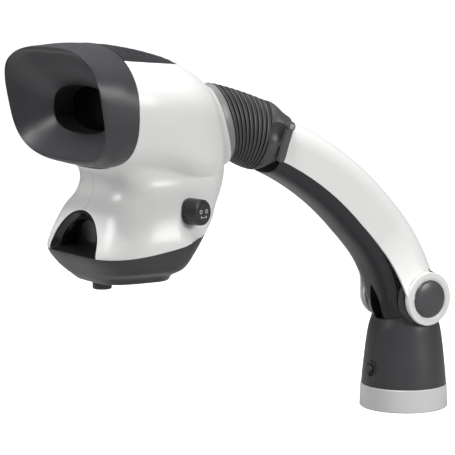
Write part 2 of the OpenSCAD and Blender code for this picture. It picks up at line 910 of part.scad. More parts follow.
// prism through the front with the arch's outline, grown by g
module arch_prism(g, y0, y1, foot = 0) {
    translate([0, y1, arch_foot_z])
        rotate([90, 0, 0])
            linear_extrude(y1 - y0)
                polygon(concat([[-arch_half_w - g, -foot]],
                    [for (k = [10 : -1 : 0]) let (a = 180 * k / 10)
                        [(arch_half_w + g) * cos(a), (arch_h + g) * sin(a)]],
                    [[arch_half_w + g, -foot]]));
}

// leaf outline of the vent panel, standing upright, grown by g
module vent_prism(g) {
    translate([0, hood_plane, 340])
        linear_extrude(120)
            polygon([for (k = [0 : 16]) let (a = 180 * k / 16)
                [(vent_half_w + g) * cos(a), (vent_len + g) * sin(a) - (sin(a) < 0.01 ? 2 : 0)]]);
}

knob_base = [70, -327.5, 251];
knob_turn = 20;
knob_dish = 4;
knob_dish_r = 55;

// place children with +Z along the knob's axis, at its seat on the shell
module at_knob() {
    translate(knob_base)
        rotate([0, 0, knob_turn])
            rotate([0, 90, 0])
                children();
}

head_posts = [[-277, 250], [-394, 284], [-292, 379]];

module head_post_ribs() {
    for (p = head_posts) {
        rod_x([0, p[0], p[1]], 7, 64, 0, $fn = 16);
        for (a = [30, 150, 270])
            hull() {
                rod_x([0, p[0], p[1]], 2, 56, 0, $fn = 6);
                rod_x([0, p[0] + 7 * cos(a), p[1] + 7 * sin(a)], 1.2, 56, 0, $fn = 6);
            }
    }
}

// the two head shells before they are parted
module head_housing() {
    difference() {
        union() {
            difference() {
                union() {
                    upper_body(0);
                    lower_body(0, 200);
                }
                upper_body(head_wall, 3);
                lower_body(head_wall, 190, 328, 7);
            }
            intersection() {
                union() {
                    upper_body(1);
                    lower_body(1, 190);
                }
                union() {
                    head_post_ribs();
                    at_knob()
                        translate([0, 0, -9.5])
                            cylinder(d = 66, h = 32, $fn = 32);
                }
            }
        }
        trim_side(false, gap / 2);
        arch_prism(gap / 2, -460, -390, 10);
        vent_prism(gap / 2);
        for (p = head_posts)
            rod_x([0, p[0], p[1]], 3, 50, 0, $fn = 12);
        // dished pocket and hole for the knob
        at_knob() {
            translate([0, 0, knob_dish_r - knob_dish])
                sphere(r = knob_dish_r, $fn = 60);
            translate([0, 0, -20])
                cylinder(d = 14, h = 40, $fn = 24);
        }
        // face against the neck ring
        translate([0, neck_front[0], neck_front[1]])
            rotate([neck_lean, 0, 0])
                translate([-50, 0, -neck_half_h - 1])
                    cube([100, 40, 2 * neck_half_h + 2]);
    }
}

module head_shell(side) {
    color(white)
        intersection() {
            head_housing();
            half_space(side);
        }
}

module head_shell_left() {
    head_shell(-1);
}

module head_shell_right() {
    head_shell(1);
}

module head_screws() {
    color(metal)
        for (p = head_posts)
            translate([22, p[0], p[1]])
                rotate([0, 90, 0])
                    screw(2.6, 42, 2.2);
}

// ---- hood ------------------------------------------------------------------

rim_z = 359.6;
rim_lean = 0.183;
rim_y = -441;
hood_points = 36;

// ring of the hood: y at its centre, centre height, half sizes, roundness,
// taper of its width towards the bottom, and how far its plane leans
function hood_ring(y, zc, w, up, down, n_up, n_down, taper, lean) =
    [for (k = [0 : hood_points - 1])
        let (a = 360 * k / hood_points, e = 2 / (sin(a) > 0 ? n_up : n_down),
            v = (sin(a) > 0 ? up : down) * spow(sin(a), e),
            x = (w + taper * v / 60) * spow(cos(a), e))
        [x, y - lean * v - 4 * lean / rim_lean * x * x / 10000, zc + v]];

module hood() {
    t = hood_wall;
    lip = 6;
    color(dark)
        loop_loft([
            hood_ring(hood_plane - 0.3, 358, 100, 63, 62, 2.2, 2.8, 0, 0),
            hood_ring(-422, 359, 101, 62.6, 62, 2.5, 3, 1.5, 0.06),
            hood_ring(-435, 359.5, rim_half_w, rim_half_h + lip + 1.2, rim_half_h + lip + 1,
                2.7, 3, 2.2, 0.15),
            hood_ring(rim_y - 1, rim_z, rim_half_w - 0.8, rim_half_h + lip, rim_half_h + lip,
                2.9, 3.1, 2.6, rim_lean),
            hood_ring(rim_y - 2.6, rim_z, rim_half_w - 1.6, rim_half_h + lip - 3.4,
                rim_half_h + lip - 3.4, 3.4, 3.3, 2.6, rim_lean),
            hood_ring(rim_y - 1.6, rim_z, rim_half_w - 3, rim_half_h, rim_half_h, 3.9, 3.6,
                2.8, rim_lean),
            hood_ring(-432, 357.5, 86, 42, 43, 3.4, 3.3, 2, 0.1),
            hood_ring(-422, 355, 69, 30, 31, 2.9, 2.9, 0, 0.04),
            hood_ring(-416, 354, window_half_w, window_half_h, window_half_h, 2.6, 2.6, 0, 0),
            hood_ring(-394, 354, window_half_w - 4, window_half_h - 2, window_half_h - 2,
                2.6, 2.6, 0, 0),
            hood_ring(-394, 354, window_half_w - 4 + t, window_half_h - 2 + t,
                window_half_h - 2 + t, 2.6, 2.6, 0, 0),
            hood_ring(-413, 354, window_half_w + t + 1, window_half_h + t + 1,
                window_half_h + t + 1, 2.6, 2.6, 0, 0),
            hood_ring(-420, 355.5, 74, 36, 37, 2.9, 2.9, 0, 0.04),
            hood_ring(-431, 358, 94, 51, 51, 3, 3.1, 2, 0.12),
            hood_ring(-420, 359, 101 - t, 62.6 - t, 62 - t, 2.5, 3, 1.5, 0.04),
            hood_ring(hood_plane - 0.3, 358, 100 - t, 63 - t, 62 - t, 2.2, 2.8, 0, 0)]);
}

louvre_pitch = 9;

module vent_panel() {
    color(black)
        difference() {
            intersection() {
                difference() {
                    upper_body(-0.3);
                    upper_body(head_wall - 0.3, 5);
                }
                vent_prism(-gap / 2);
                translate([-100, hood_plane + 0.1, 340])
                    cube([200, 200, 120]);
            }
            for (k = [0 : louvre_count - 1])
                louvre(k);
        }
}

// one slot across the panel, shorter towards its tip
module louvre(k) {
    y = hood_plane + 14 + k * louvre_pitch;
    half = 0.72 * vent_half_w * sqrt(1 - pow((y - hood_plane) / vent_len, 2));
    hull()
        for (s = [-1, 1])
            translate([s * half, y, 380])
                cylinder(d = 3.4, h = 60, $fn = 8);
}

// ---- bottom of the head ------------------------------------------------------

tub_back = -401;
frame_wall = 3;

module arch_frame() {
    color(black)
        difference() {
            intersection() {
                arch_prism(-gap / 2, -460, tub_back, 0);
                lower_body(0.5, 190);
            }
            arch_prism(-frame_wall - gap, -470, tub_back - 3, 20);
            trim_side(false, gap / 2);
        }
}

skirt_z0 = 184.5;

module skirt() {
    wall = 3;
    color(dark)
        difference() {
            intersection() {
                lower_body(0, skirt_z0, 262, 6);
                trim_side(false, -gap / 2);
            }
            lower_body(wall, skirt_z0 - 2, 290, 6);
            // steps that locate the bottom cover, cut as drafted notches
            for (a = [0 : 45 : 315])
                translate([0, turret_axis_y, skirt_z0])
                    rotate(a)
                        hull() {
                            translate([30, -2, -1])
                                cube([60, 4, 0.5]);
                            translate([30, -1.4, -1])
                                cube([60, 2.8, 2]);
                        }
        }
}

turret_axis_y = -364.5;

module bottom_cover() {
    color(dark)
        difference() {
            lower_body(0.4, 177, skirt_z0 - gap, 3);
            translate([0, turret_axis_y, 170])
                cylinder(d = turret_d + 2 * gap, h = 30, $fn = 96);
        }
}

side_plate_x = 44;
plate_t = 3;
beam_z = 264;
screw_y = knob_base[1] - (knob_base[0] - 54) * tan(knob_turn);
screw_z = knob_base[2];
bridge_z = 196;

// outline of a side plate in (y, z), kept clear of the shells' inner walls front and back
side_plate_outline = [[-376, bridge_z], [-332, bridge_z], [-324, 206], [-308, 236],
    [-306, 258], [-306, 290], [-288, 310], [-288, 352], [-381, 352], [-381, 276],
    [-389, 268], [-389, 246], [-376, 236]];

module head_chassis() {
    color(metal)
        difference() {
            union() {
                for (s = [-1, 1])
                    translate([s > 0 ? side_plate_x : -side_plate_x - plate_t, 0, 0])
                        rotate([90, 0, 90])
                            linear_extrude(plate_t)
                                polygon(side_plate_outline);
                translate([-side_plate_x - 1, -376, bridge_z])
                    cube([2 * side_plate_x + 2, 44, 4]);
                translate([-20, -412, bridge_z])
                    cube([40, 37, 3]);
                translate([-side_plate_x - 1, -288.2, 302])
                    cube([2 * side_plate_x + 2, 4, 50]);
            }
            rod_x([0, screw_y, screw_z], 6 + running_fit, 120);
            translate([0, turret_axis_y, bridge_z - 1])
                cylinder(d = 10.02, h = 8);
            translate([0, turret_axis_y - objective_offset, bridge_z - 1])
                cylinder(d = objective_d + 4, h = 8);
        }
}

module viewing_lens() {
    color(glass)
        translate([0, -391.2, 354])
            rotate([90, 0, 0])
                linear_extrude(2.5)
                    polygon([for (k = [0 : 47]) let (a = 360 * k / 48)
                        [(window_half_w - 1.5) * spow(cos(a), 2 / 2.6),
                            (window_half_h + 0.5) * spow(sin(a), 2 / 2.6)]]);
}

module fold_mirror() {
    color(glass)
        translate([0, -322, 336])
            rotate([45, 0, 0])
                translate([-side_plate_x + 0.3, -20, -2])
                    cube([2 * side_plate_x - 0.6, 42, 3]);
}

// length of the relay mirror towards the front wall and towards the back, and its thickness
relay_below = 8.5;
relay_above = 9.5;
relay_t = 3;

module relay_mirror() {
    color(glass)
        translate([0, -386, 262])
            rotate([-45, 0, 0])
                translate([-side_plate_x + gap, -relay_below, -relay_t / 2])
                    cube([2 * (side_plate_x - gap), relay_below + relay_above, relay_t]);
}

module lamp_ring() {
    color("#f2f2ea")
        translate([0, turret_axis_y - objective_offset, bridge_z + 3 + gap])
            difference() {
                cylinder(d = objective_d + 14, h = 3);
                translate([0, 0, -1])
                    cylinder(d = objective_d + 4, h = 5);
            }
}

turret_z = 180.5;
turret_t = 5;
// side of the turret's axis and height of the lower end, for each objective
objective_ends = [[-1, 168.4], [1, 175]];

module turret_shaft() {
    color(metal)
        translate([0, turret_axis_y, turret_z - 1.5]) {
            cylinder(d = 10, h = bridge_z + 6 - turret_z);
            cylinder(d = 16, h = 1.2);
        }
}

module turret_disc() {
    color(black)
        translate([0, turret_axis_y, turret_z])
            difference() {
                union() {
                    cylinder(d = turret_d, h = turret_t);
                    cylinder(d = 22, h = 14);
                }
                translate([0, 0, -1])
                    cylinder(d = 10 + running_fit, h = 20);
                for (s = [-1, 1])
                    translate([0, s * objective_offset, -1])
                        cylinder(d = objective_d - 4, h = 20);
            }
}

module objective_barrels() {
    color(dark)
        for (q = objective_ends)
            translate([0, turret_axis_y + q[0] * objective_offset, 0])
                rotate_extrude()
                    polygon([[objective_d / 2 - 5, q[1] + 0.6], [objective_d / 2 - 1, q[1]],
                        [objective_d / 2, q[1] + 1], [objective_d / 2, turret_z],
                        [objective_d / 2 - 2.2, turret_z],
                        [objective_d / 2 - 2.2, turret_z + turret_t + 6],
                        [objective_d / 2 - 5, turret_z + turret_t + 6]]);
}

module objective_lenses() {
    color(glass)
        for (q = objective_ends)
            translate([0, turret_axis_y + q[0] * objective_offset, q[1] + 2])
                cylinder(d = objective_d - 10.02, h = 4);
}

// ---- eye-distance drive ------------------------------------------------------

knob_gap = -1;

module ipd_knob() {
    color(black)
        at_knob()
            translate([0, 0, knob_gap])
                difference() {
                    rotate_extrude($fn = 96)
                        polygon([[0, 0], [knob_d / 2 - 0.8, 0], [knob_d / 2, 1],
                            [knob_d / 2 - 0.6, knob_h - 2], [knob_d / 2 - 2, knob_h],
                            [knob_d / 2 - 2.6, knob_h], [knob_d / 2 - 3, knob_h - 0.6],
                            [knob_d / 2 - 3.4, knob_h], [0, knob_h]]);
                    translate([0, 0, -1])
                        cylinder(d = 6.02, h = 8);
                }
}

module knob_shaft() {
    color(metal)
        at_knob() {
            translate([0, 0, -14.5])
                cylinder(d = 6, h = 14.5 + knob_gap + 6.5);
            translate([0, 0, -15.4])
                sphere(r = 4);
        }
}

module knob_bush() {
    color(brass)
        at_knob()
            translate([0, 0, -9.5])
                difference() {
                    cylinder(d = 14 - 2 * gap, h = 5.3);
                    translate([0, 0, -1])
                        cylinder(d = 6 + running_fit, h = 10);
                }
}

module pupil_screw() {
    color(metal)
        translate([-49.5, screw_y, screw_z])
            rotate([0, 90, 0])
                cylinder(d = 6, h = 100.7);
}

module pupil_carriage(s) {
    color(metal)
        difference() {
            translate([s * pupil_distance / 2 - 5, screw_y - 7, screw_z - 7])
                cube([10, 14, 12.5]);
            rod_x([0, screw_y, screw_z], 6 + running_fit, 120);
        }
}

module pupil_carriage_left() {
    pupil_carriage(-1);
}

module pupil_carriage_right() {
    pupil_carriage(1);
}

module pupil_mirror(s) {
    color(glass)
        translate([s * pupil_distance / 2 - 8, screw_y, screw_z + 5.5])
            difference() {
                translate([0, -7, 0])
                    cube([16, 14, 14]);
                rotate([45, 0, 0])
                    translate([-1, -20, 0])
                        cube([18, 40, 20]);
            }
}

module pupil_mirror_left() {
    pupil_mirror(-1);
}

module pupil_mirror_right() {
    pupil_mirror(1);
}

mount_ring();
thrust_washer();
swivel_spindle();
spindle_circlip();
base_shell_left();
base_shell_right();
base_screws();
pivot_bushes();
lock_button();
button_bezel();
button_spring();
pivot_axle();
arm_beam();
balance_spring();
arm_top_cover();
arm_lower_cover();
pivot_cap_left();
pivot_cap_right();
neck_block();
tilt_axle();
clamp_nut();
clamp_lever();
clamp_stud();
neck_ring();
tilt_fork();
friction_washers();
bellows();
head_shell_left();
head_shell_right();
head_screws();
hood();
vent_panel();
arch_frame();
skirt();
bottom_cover();
head_chassis();
viewing_lens();
fold_mirror();
relay_mirror();
lamp_ring();
turret_shaft();
turret_disc();
objective_barrels();
objective_lenses();
ipd_knob();
knob_shaft();
knob_bush();
pupil_screw();
pupil_carriage_left();
pupil_carriage_right();
pupil_mirror_left();
pupil_mirror_right();
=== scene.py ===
import bpy
import numpy as np
from mathutils import Matrix


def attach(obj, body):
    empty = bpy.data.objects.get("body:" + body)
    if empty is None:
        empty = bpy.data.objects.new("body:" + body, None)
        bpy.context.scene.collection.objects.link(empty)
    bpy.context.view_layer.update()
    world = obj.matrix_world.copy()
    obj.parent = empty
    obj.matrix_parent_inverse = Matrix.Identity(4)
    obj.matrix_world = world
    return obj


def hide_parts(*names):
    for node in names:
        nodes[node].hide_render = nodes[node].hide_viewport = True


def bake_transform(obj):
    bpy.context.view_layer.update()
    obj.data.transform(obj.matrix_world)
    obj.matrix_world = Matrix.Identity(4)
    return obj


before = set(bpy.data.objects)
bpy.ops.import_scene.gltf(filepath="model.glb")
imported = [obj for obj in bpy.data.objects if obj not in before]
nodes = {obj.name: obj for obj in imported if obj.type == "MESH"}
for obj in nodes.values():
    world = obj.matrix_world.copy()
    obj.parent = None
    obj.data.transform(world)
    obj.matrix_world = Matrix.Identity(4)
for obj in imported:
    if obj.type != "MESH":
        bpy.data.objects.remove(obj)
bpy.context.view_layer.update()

# ---- Base ring and swivel ------------------------------------------------------------
# A turned aluminium ring, painted pale grey, that bolts to a stand. Inside it a steel
# spindle turns on a pale plastic washer, held from below by a snap ring.


def fine_grain():
    """Group: fine noise of a moulded or painted face and slow unevenness of its finish."""
    group = bpy.data.node_groups.new("fine_grain", "ShaderNodeTree")
    face = group.interface
    face.new_socket("Vector", in_out="INPUT", socket_type="NodeSocketVector")
    size = face.new_socket("Grains per metre", in_out="INPUT", socket_type="NodeSocketFloat")
    size.default_value = 1200
    face.new_socket("Height", in_out="OUTPUT", socket_type="NodeSocketFloat")
    face.new_socket("Speck", in_out="OUTPUT", socket_type="NodeSocketFloat")
    face.new_socket("Unevenness", in_out="OUTPUT", socket_type="NodeSocketFloat")
    link = group.links.new
    start = group.nodes.new("NodeGroupInput")
    end = group.nodes.new("NodeGroupOutput")
    grain = group.nodes.new("ShaderNodeTexNoise")
    grain.inputs["Detail"].default_value = 3
    grain.inputs["Roughness"].default_value = 0.6
    link(start.outputs["Vector"], grain.inputs["Vector"])
    link(start.outputs["Grains per metre"], grain.inputs["Scale"])
    speck = group.nodes.new("ShaderNodeMapRange")
    speck.inputs["From Min"].default_value = 0.38
    speck.inputs["From Max"].default_value = 0.62
    link(grain.outputs["Fac"], speck.inputs["Value"])
    slow = group.nodes.new("ShaderNodeTexNoise")
    slow.inputs["Scale"].default_value = 22
    slow.inputs["Detail"].default_value = 2
    link(start.outputs["Vector"], slow.inputs["Vector"])
    link(grain.outputs["Fac"], end.inputs["Height"])
    link(speck.outputs["Result"], end.inputs["Speck"])
    link(slow.outputs["Fac"], end.inputs["Unevenness"])
    return group


grain_group = fine_grain()


def tone(hex_colour):
    """Linear colour of a screen colour."""
    c = np.array([int(hex_colour[k:k + 2], 16) / 255 for k in (1, 3, 5)])
    c = np.where(c <= 0.04045, c / 12.92, ((c + 0.055) / 1.055) ** 2.4)
    return (*c.tolist(), 1)


def finish(name, colour, other, rough, grains=1200, bump=0.00003, spread=0.06,
           metallic=0.0, coat=0.0, ior=1.5):
    """Material of a grained face: its colour varies a little between two tones, its
    roughness by spread about rough, and its height by bump metres."""
    mat = bpy.data.materials.new(name)
    mat.use_nodes = True
    tree = mat.node_tree
    link = tree.links.new
    shader = tree.nodes["Principled BSDF"]
    shader.inputs["Metallic"].default_value = metallic
    shader.inputs["Coat Weight"].default_value = coat
    shader.inputs["Coat Roughness"].default_value = 0.25
    shader.inputs["IOR"].default_value = ior
    place = tree.nodes.new("ShaderNodeTexCoord")
    grain = tree.nodes.new("ShaderNodeGroup")
    grain.node_tree = grain_group
    grain.inputs["Grains per metre"].default_value = grains
    link(place.outputs["Object"], grain.inputs["Vector"])
    both = tree.nodes.new("ShaderNodeMath")
    both.operation = "MULTIPLY_ADD"
    slow_share = 0.6
    both.inputs[1].default_value = slow_share
    link(grain.outputs["Unevenness"], both.inputs[0])
    half = tree.nodes.new("ShaderNodeMath")
    half.operation = "MULTIPLY"
    half.inputs[1].default_value = 1 - slow_share
    link(grain.outputs["Speck"], half.inputs[0])
    link(half.outputs[0], both.inputs[2])
    blend = tree.nodes.new("ShaderNodeMix")
    blend.data_type = "RGBA"
    blend.inputs["A"].default_value = tone(colour)
    blend.inputs["B"].default_value = tone(other)
    link(both.outputs[0], blend.inputs["Factor"])
    link(blend.outputs["Result"], shader.inputs["Base Color"])
    gloss = tree.nodes.new("ShaderNodeMapRange")
    gloss.inputs["To Min"].default_value = rough - spread
    gloss.inputs["To Max"].default_value = rough + spread
    link(grain.outputs["Speck"], gloss.inputs["Value"])
    link(gloss.outputs["Result"], shader.inputs["Roughness"])
    lift = tree.nodes.new("ShaderNodeBump")
    lift.inputs["Strength"].default_value = 1
    lift.inputs["Distance"].default_value = bump
    link(grain.outputs["Height"], lift.inputs["Height"])
    link(lift.outputs["Normal"], shader.inputs["Normal"])
    return mat


def dress(names, material):
    """Gives CAD nodes that keep their shape a finer material."""
    for name in names:
        node = nodes[name]
        node.data.materials.clear()
        node.data.materials.append(material)


ring_paint = finish("ring_paint", "#dadbd9", "#d2d3d1", 0.38, 1500, 0.00002, 0.05)
turned_steel = finish("turned_steel", "#c3c6c9", "#aeb1b4", 0.28, 2600, 0.00001, 0.08, 1.0)
washer_pale = finish("washer_pale", "#e9e6da", "#e2dfd2", 0.5)
dress(["mount_ring"], ring_paint)
dress(["swivel_spindle", "spindle_circlip", "base_screws", "button_spring", "balance_spring",
       "pivot_axle", "tilt_axle", "turret_shaft", "knob_shaft", "pupil_screw",
       "clamp_nut", "head_screws"], turned_steel)
dress(["thrust_washer"], washer_pale)

# ---- Base housing --------------------------------------------------------------------
# Two dark moulded half shells screwed together across X = 0. They make a bell that rises
# from the ring to two rounded ears, with a saddle between them for the foot of the arm.

shell_z = 26.4
pivot = np.array([0, 0, 128.0])
ear_gap = 59.0
ear_half = ear_gap / 2 + 6.5
ear_radius = 32.0
axle_room_r = 6.3
base_seam_half = 0.2
# Height, half width, half depth and roundness.
base_rows = np.array([
    [shell_z, 48.4, 48.4, 2], [40, 47.4, 47.2, 2], [56, 45.6, 45, 2.05],
    [75, 43, 42, 2.15], [92, ear_half + 4.6, 38.6, 2.2], [104, ear_half + 1.6, 34, 2.3],
    [118, ear_half, 29, 2.6], [130, ear_half, 26, 3]])


def along(rows, s):
    """Smooth curve through the rows of a table at stations s: a cubic between two rows
    whose slopes at each row come from the rows beside it. Gives the other columns."""
    s = np.asarray(s, float)
    x = rows[:, 0]
    i = np.clip(np.searchsorted(x, s, side="right") - 1, 0, len(x) - 2)
    low = np.maximum(np.arange(len(x)) - 1, 0)
    high = np.minimum(np.arange(len(x)) + 1, len(x) - 1)
    slope = (rows[high, 1:] - rows[low, 1:]) / (x[high] - x[low])[:, None]
    h = (x[i + 1] - x[i])[..., None]
    t = (s - x[i])[..., None] / h
    a, b = rows[i, 1:], rows[i + 1, 1:]
    value = (a * (2 * t**3 - 3 * t**2 + 1) + slope[i] * h * (t**3 - 2 * t**2 + t)
             + b * (3 * t**2 - 2 * t**3) + slope[i + 1] * h * (t**3 - t**2))
    return np.moveaxis(value, -1, 0)


def spow(v, e):
    """Signed power, which rounds or squares an ellipse."""
    return np.sign(v) * np.abs(v) ** e


def skin(name, grid, ring=True, loop=False, smooth=30):
    """Mesh over a grid of points in mm: rows follow each other, each row is a closed ring,
    and the two end rows are closed by a face, unless loop joins the last row to the first.
    Faces are turned outwards by the sign of the volume they enclose."""
    grid = np.asarray(grid, float)
    m, n = grid.shape[:2]
    index = np.arange(m * n).reshape(m, n)
    wide = np.hstack([index, index[:, :1]]) if ring else index
    tall = np.vstack([wide, wide[:1]]) if loop else wide
    quads = np.stack([tall[:-1, :-1], tall[:-1, 1:], tall[1:, 1:], tall[1:, :-1]], -1)
    quads = quads.reshape(-1, 4)
    points = grid.reshape(-1, 3)
    a, b, c, d = (points[quads[:, k]] for k in range(4))
    volume = (np.einsum("ij,ij->i", a, np.cross(b, c)).sum()
              + np.einsum("ij,ij->i", a, np.cross(c, d)).sum())
    faces = quads.tolist()
    if not loop and ring:
        faces += [index[0, ::-1].tolist(), index[-1].tolist()]
        for face in faces[-2:]:
            p = points[face]
            fan = np.cross(p[1:-1] - p[0], p[2:] - p[0]).sum(0)
            volume += p[0] @ fan
    if volume < 0:
        faces = [face[::-1] for face in faces]
    mesh = bpy.data.meshes.new(name)
    mesh.from_pydata((points / 1000).tolist(), [], faces)
    mesh.validate()
    mesh.shade_smooth()
    mesh.set_sharp_from_angle(angle=np.radians(smooth))
    piece = bpy.data.objects.new(name, mesh)
    bpy.context.scene.collection.objects.link(piece)
    return piece


def carve(piece, tools, operation="DIFFERENCE", smooth=30):
    """Cuts tool solids out of a piece, or joins them to it, and keeps the result as mesh."""
    for tool in tools:
        step = piece.modifiers.new("carve", "BOOLEAN")
        step.operation = operation
        step.solver = "MANIFOLD"
        step.object = tool
    bpy.context.view_layer.update()
    ready = piece.evaluated_get(bpy.context.evaluated_depsgraph_get())
    mesh = bpy.data.meshes.new_from_object(ready)
    piece.modifiers.clear()
    mesh.materials.clear()
    mesh.polygons.foreach_set("material_index", np.zeros(len(mesh.polygons), np.int32))
    old = piece.data
    piece.data = mesh
    bpy.data.meshes.remove(old)
    for tool in tools:
        bpy.data.objects.remove(tool)
    mesh.shade_smooth()
    mesh.set_sharp_from_angle(angle=np.radians(smooth))


def block(name, low, high):
    """Box between two corners in mm, used to cut."""
    (x0, y0, z0), (x1, y1, z1) = low, high
    foot = np.array([[x0, y0, z0], [x1, y0, z0], [x1, y1, z0], [x0, y1, z0]])
    return skin(name, np.stack([foot, foot + [0, 0, z1 - z0]]))


def turned(name, profile, place, steps=96, smooth=30):
    """Body of revolution: a profile of (radius, height) carried round the axis of a frame.
    place turns local points (x, y, height) into the shared frame."""
    profile = np.asarray(profile, float)
    a = np.linspace(0, 2 * np.pi, steps, endpoint=False)
    r, h = profile[:, :1], profile[:, 1:]
    local = np.stack([r * np.cos(a), r * np.sin(a), h + 0 * a], -1)
    return skin(name, place(local), smooth=smooth)


def across(x, centre=pivot, side=1):
    """Frame whose height runs along +X or -X from x, about an axis through centre."""
    return lambda p: np.stack([x + side * p[..., 2], centre[1] + p[..., 0],
                               centre[2] + p[..., 1]], -1)


def bell(z0, z1, inset=0, rings=60, points=128):
    """Bell of the base: at each height a rounded oval with the half sizes and roundness
    of the base rows."""
    z = np.linspace(z0, z1, rings)[:, None]
    a = np.linspace(0, 2 * np.pi, points, endpoint=False)[None, :]
    w, d, n = along(base_rows, z)
    return np.stack([(w - inset) * spow(np.cos(a), 2 / n),
                     (d - inset) * spow(np.sin(a), 2 / n), z + 0 * a], -1)


def ear_profile():
    """Outline of an ear: a flat disc whose outer edge is rounded over."""
    a = np.linspace(0, np.pi / 2, 9)
    edge_r, inner = 4.5, ear_gap / 2 - 1
    edge = np.stack([ear_radius - edge_r + edge_r * np.cos(a),
                     ear_half - edge_r + edge_r * np.sin(a)], -1)
    return np.vstack([[[0.01, inner], [ear_radius, inner]], edge, [[0.01, ear_half]]])


def saddle_profile(grow=0):
    """Half outline of the body that fills the saddle, turned about the pivot axis."""
    saddle_radius, half = 43, ear_gap / 2
    rows = np.array([[0, 0], [8, -0.5], [13, -2], [19, -4.5], [24, -7.6], [27.5, -10.5],
                     [half, -13]])
    x = np.linspace(0, half, 24)
    y = saddle_radius + along(rows, x)[0] + grow
    r = np.concatenate([[0.01], y[::-1], y[1:], [0.01]])
    h = np.concatenate([[-half], -x[::-1], x[1:], [half]])
    return np.stack([r, h], -1)


housing = skin("base_skin", bell(shell_z, 118))
carve(housing, [turned(f"ear_{s}", ear_profile(), across(0, side=s)) for s in (-1, 1)], "UNION")
cuts = [turned("saddle", saddle_profile(), across(0)),
        block("between", (-ear_gap / 2, -60, 111), (ear_gap / 2, 60, 200)),
        turned("axle_bore", [[9.4, -60], [9.4, 60]], across(0), 48),
        turned("under", [[39.2, 0], [39.2, 9.1]],
               lambda p: p + [0, 0, shell_z - 0.5], 64)]
for s in (-1, 1):
    cuts.append(turned(f"cheek_room_{s}", [[30.7, 0], [30.7, 30]],
                       across(s * (ear_half + 0.7), side=s), 96))
carve(housing, cuts)
button_y, button_z = -46.2, 47.0
carve(housing, [turned("bezel_room", [[8.8, -9], [8.8, 16]],
                       lambda p: np.stack([p[..., 0], button_y + p[..., 2],
                                           button_z + p[..., 1]], -1), 48)])
carve(housing, [block("joint", (-base_seam_half, -70, 20), (base_seam_half, 70, 180))], smooth=32)
shell_dark = finish("shell_dark", "#414143", "#3a3a3c", 0.42, 1700, 0.00004, 0.07)
housing.data.materials.append(shell_dark)
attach(housing, "swivel_base")
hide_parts("base_shell_left", "base_shell_right")
gloss_black = finish("gloss_black", "#161618", "#121214", 0.2, 1500, 0.00001, 0.05)
bronze = finish("bronze", "#b8974e", "#9c7d3c", 0.32, 2200, 0.00001, 0.08, 1.0)
dress(["lock_button"], shell_dark)
bezel_grey = finish("bezel_grey", "#303033", "#2a2a2c", 0.36, 1700, 0.00002, 0.05)
dress(["button_bezel"], bezel_grey)
dress(["pivot_bushes", "friction_washers", "knob_bush"], bronze)

# ---- Arm covers ----------------------------------------------------------------------
# A pale moulded top cover and a dark under cover snap together round a cast beam. The top
# cover widens into two round cheeks outside the ears, each closed by a domed dark cap.

heading_foot, heading_bend, heading_end = 80.0, 50.0, 21.0
arm_start, low_radius, high_radius = (25, 138), 185, 385
arm_half, cheek_half = 28.5, 46.0


def crown(h):
    """Crown line of the arm, (y, z), where it climbs at h degrees: a small arc from the
    foot to the bend, then a large one to the neck."""
    def arc(p, r, a, b):
        return (p[0] - r * (np.sin(np.radians(a)) - np.sin(np.radians(b))),
                p[1] + r * (np.cos(np.radians(b)) - np.cos(np.radians(a))))
    h = np.asarray(h, float)
    bend = arc(arm_start, low_radius, heading_foot, heading_bend)
    low = arc(arm_start, low_radius, heading_foot, np.maximum(h, heading_bend))
    high = arc(bend, high_radius, heading_bend, np.minimum(h, heading_bend))
    steep = h >= heading_bend
    return np.where(steep, low[0], high[0]), np.where(steep, low[1], high[1])


def arm_width(h):
    """Half width, flaring towards the cheeks."""
    return arm_half + (cheek_half - arm_half) * np.maximum(0, (h - 40) / 40) ** 1.7


def seam_depth(h):
    """Depth of the joint between the two covers below the crown, less near the neck."""
    return 55 - 7 * np.maximum(0, 44 - h) / 23


def arm_point(h, x, d):
    """Point x across and d below the crown, square to the arm."""
    y, z = crown(h)
    h = np.radians(h)
    return np.stack([x + 0 * (y + d), y - d * np.sin(h) + 0 * x, z - d * np.cos(h) + 0 * x], -1)


def cover_skin(headings, wall):
    """Top cover: an arch-shaped section, w cos^0.85 across and a drop of 27 mm from crown
    to side, carried along the crown line, then back along its inside at wall's distance."""
    h = np.asarray(headings, float)[:, None]
    a = np.radians(np.concatenate([np.linspace(0, 90, 26), np.linspace(90, 180, 26)[1:]]))
    drop, power = 27, 0.85
    arch_x = spow(np.cos(a), power)
    arch_d = drop * (1 - np.sin(a) ** power)
    seam = seam_depth(h)
    w, wi = arm_width(h), arm_width(h) - wall
    x = np.hstack([w, w * arch_x, -w, -wi, wi * arch_x[::-1], wi])
    d = np.hstack([seam, 0 * h + arch_d, seam, seam, wall + 0 * h + arch_d[::-1], seam])
    return arm_point(h, x, d)


headings = np.concatenate([np.linspace(heading_foot, heading_bend, 40),
                           np.linspace(heading_bend, heading_end, 42)[1:]])
cover = skin("arm_top_skin", cover_skin(headings, 2.6), smooth=40)
cheek_in = ear_half + 1
for s in (-1, 1):
    cheek = turned("cheek", [[0.01, cheek_in], [27.5, cheek_in], [27.5, 42], [29.2, 42],
                             [30, 42.8], [30, 45], [29.2, 46], [24.3, 46.2], [23.2, 45.6],
                             [21.3, 45.4], [21.3, 42.2], [0.01, 42.2]], across(0, side=s),
                   smooth=35)
    carve(cover, [cheek], "UNION")
carve(cover, [turned("ear_room", [[33.2, -cheek_in], [33.2, cheek_in]], across(0)),
              turned("axle_room", [[axle_room_r, -70], [axle_room_r, 70]], across(0), 48)])
shell_pale = finish("shell_pale", "#ecece9", "#e8e8e5", 0.3, 900, 0.00001, 0.04)
cover.data.materials.append(shell_pale)
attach(cover, "arm")
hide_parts("arm_top_cover")

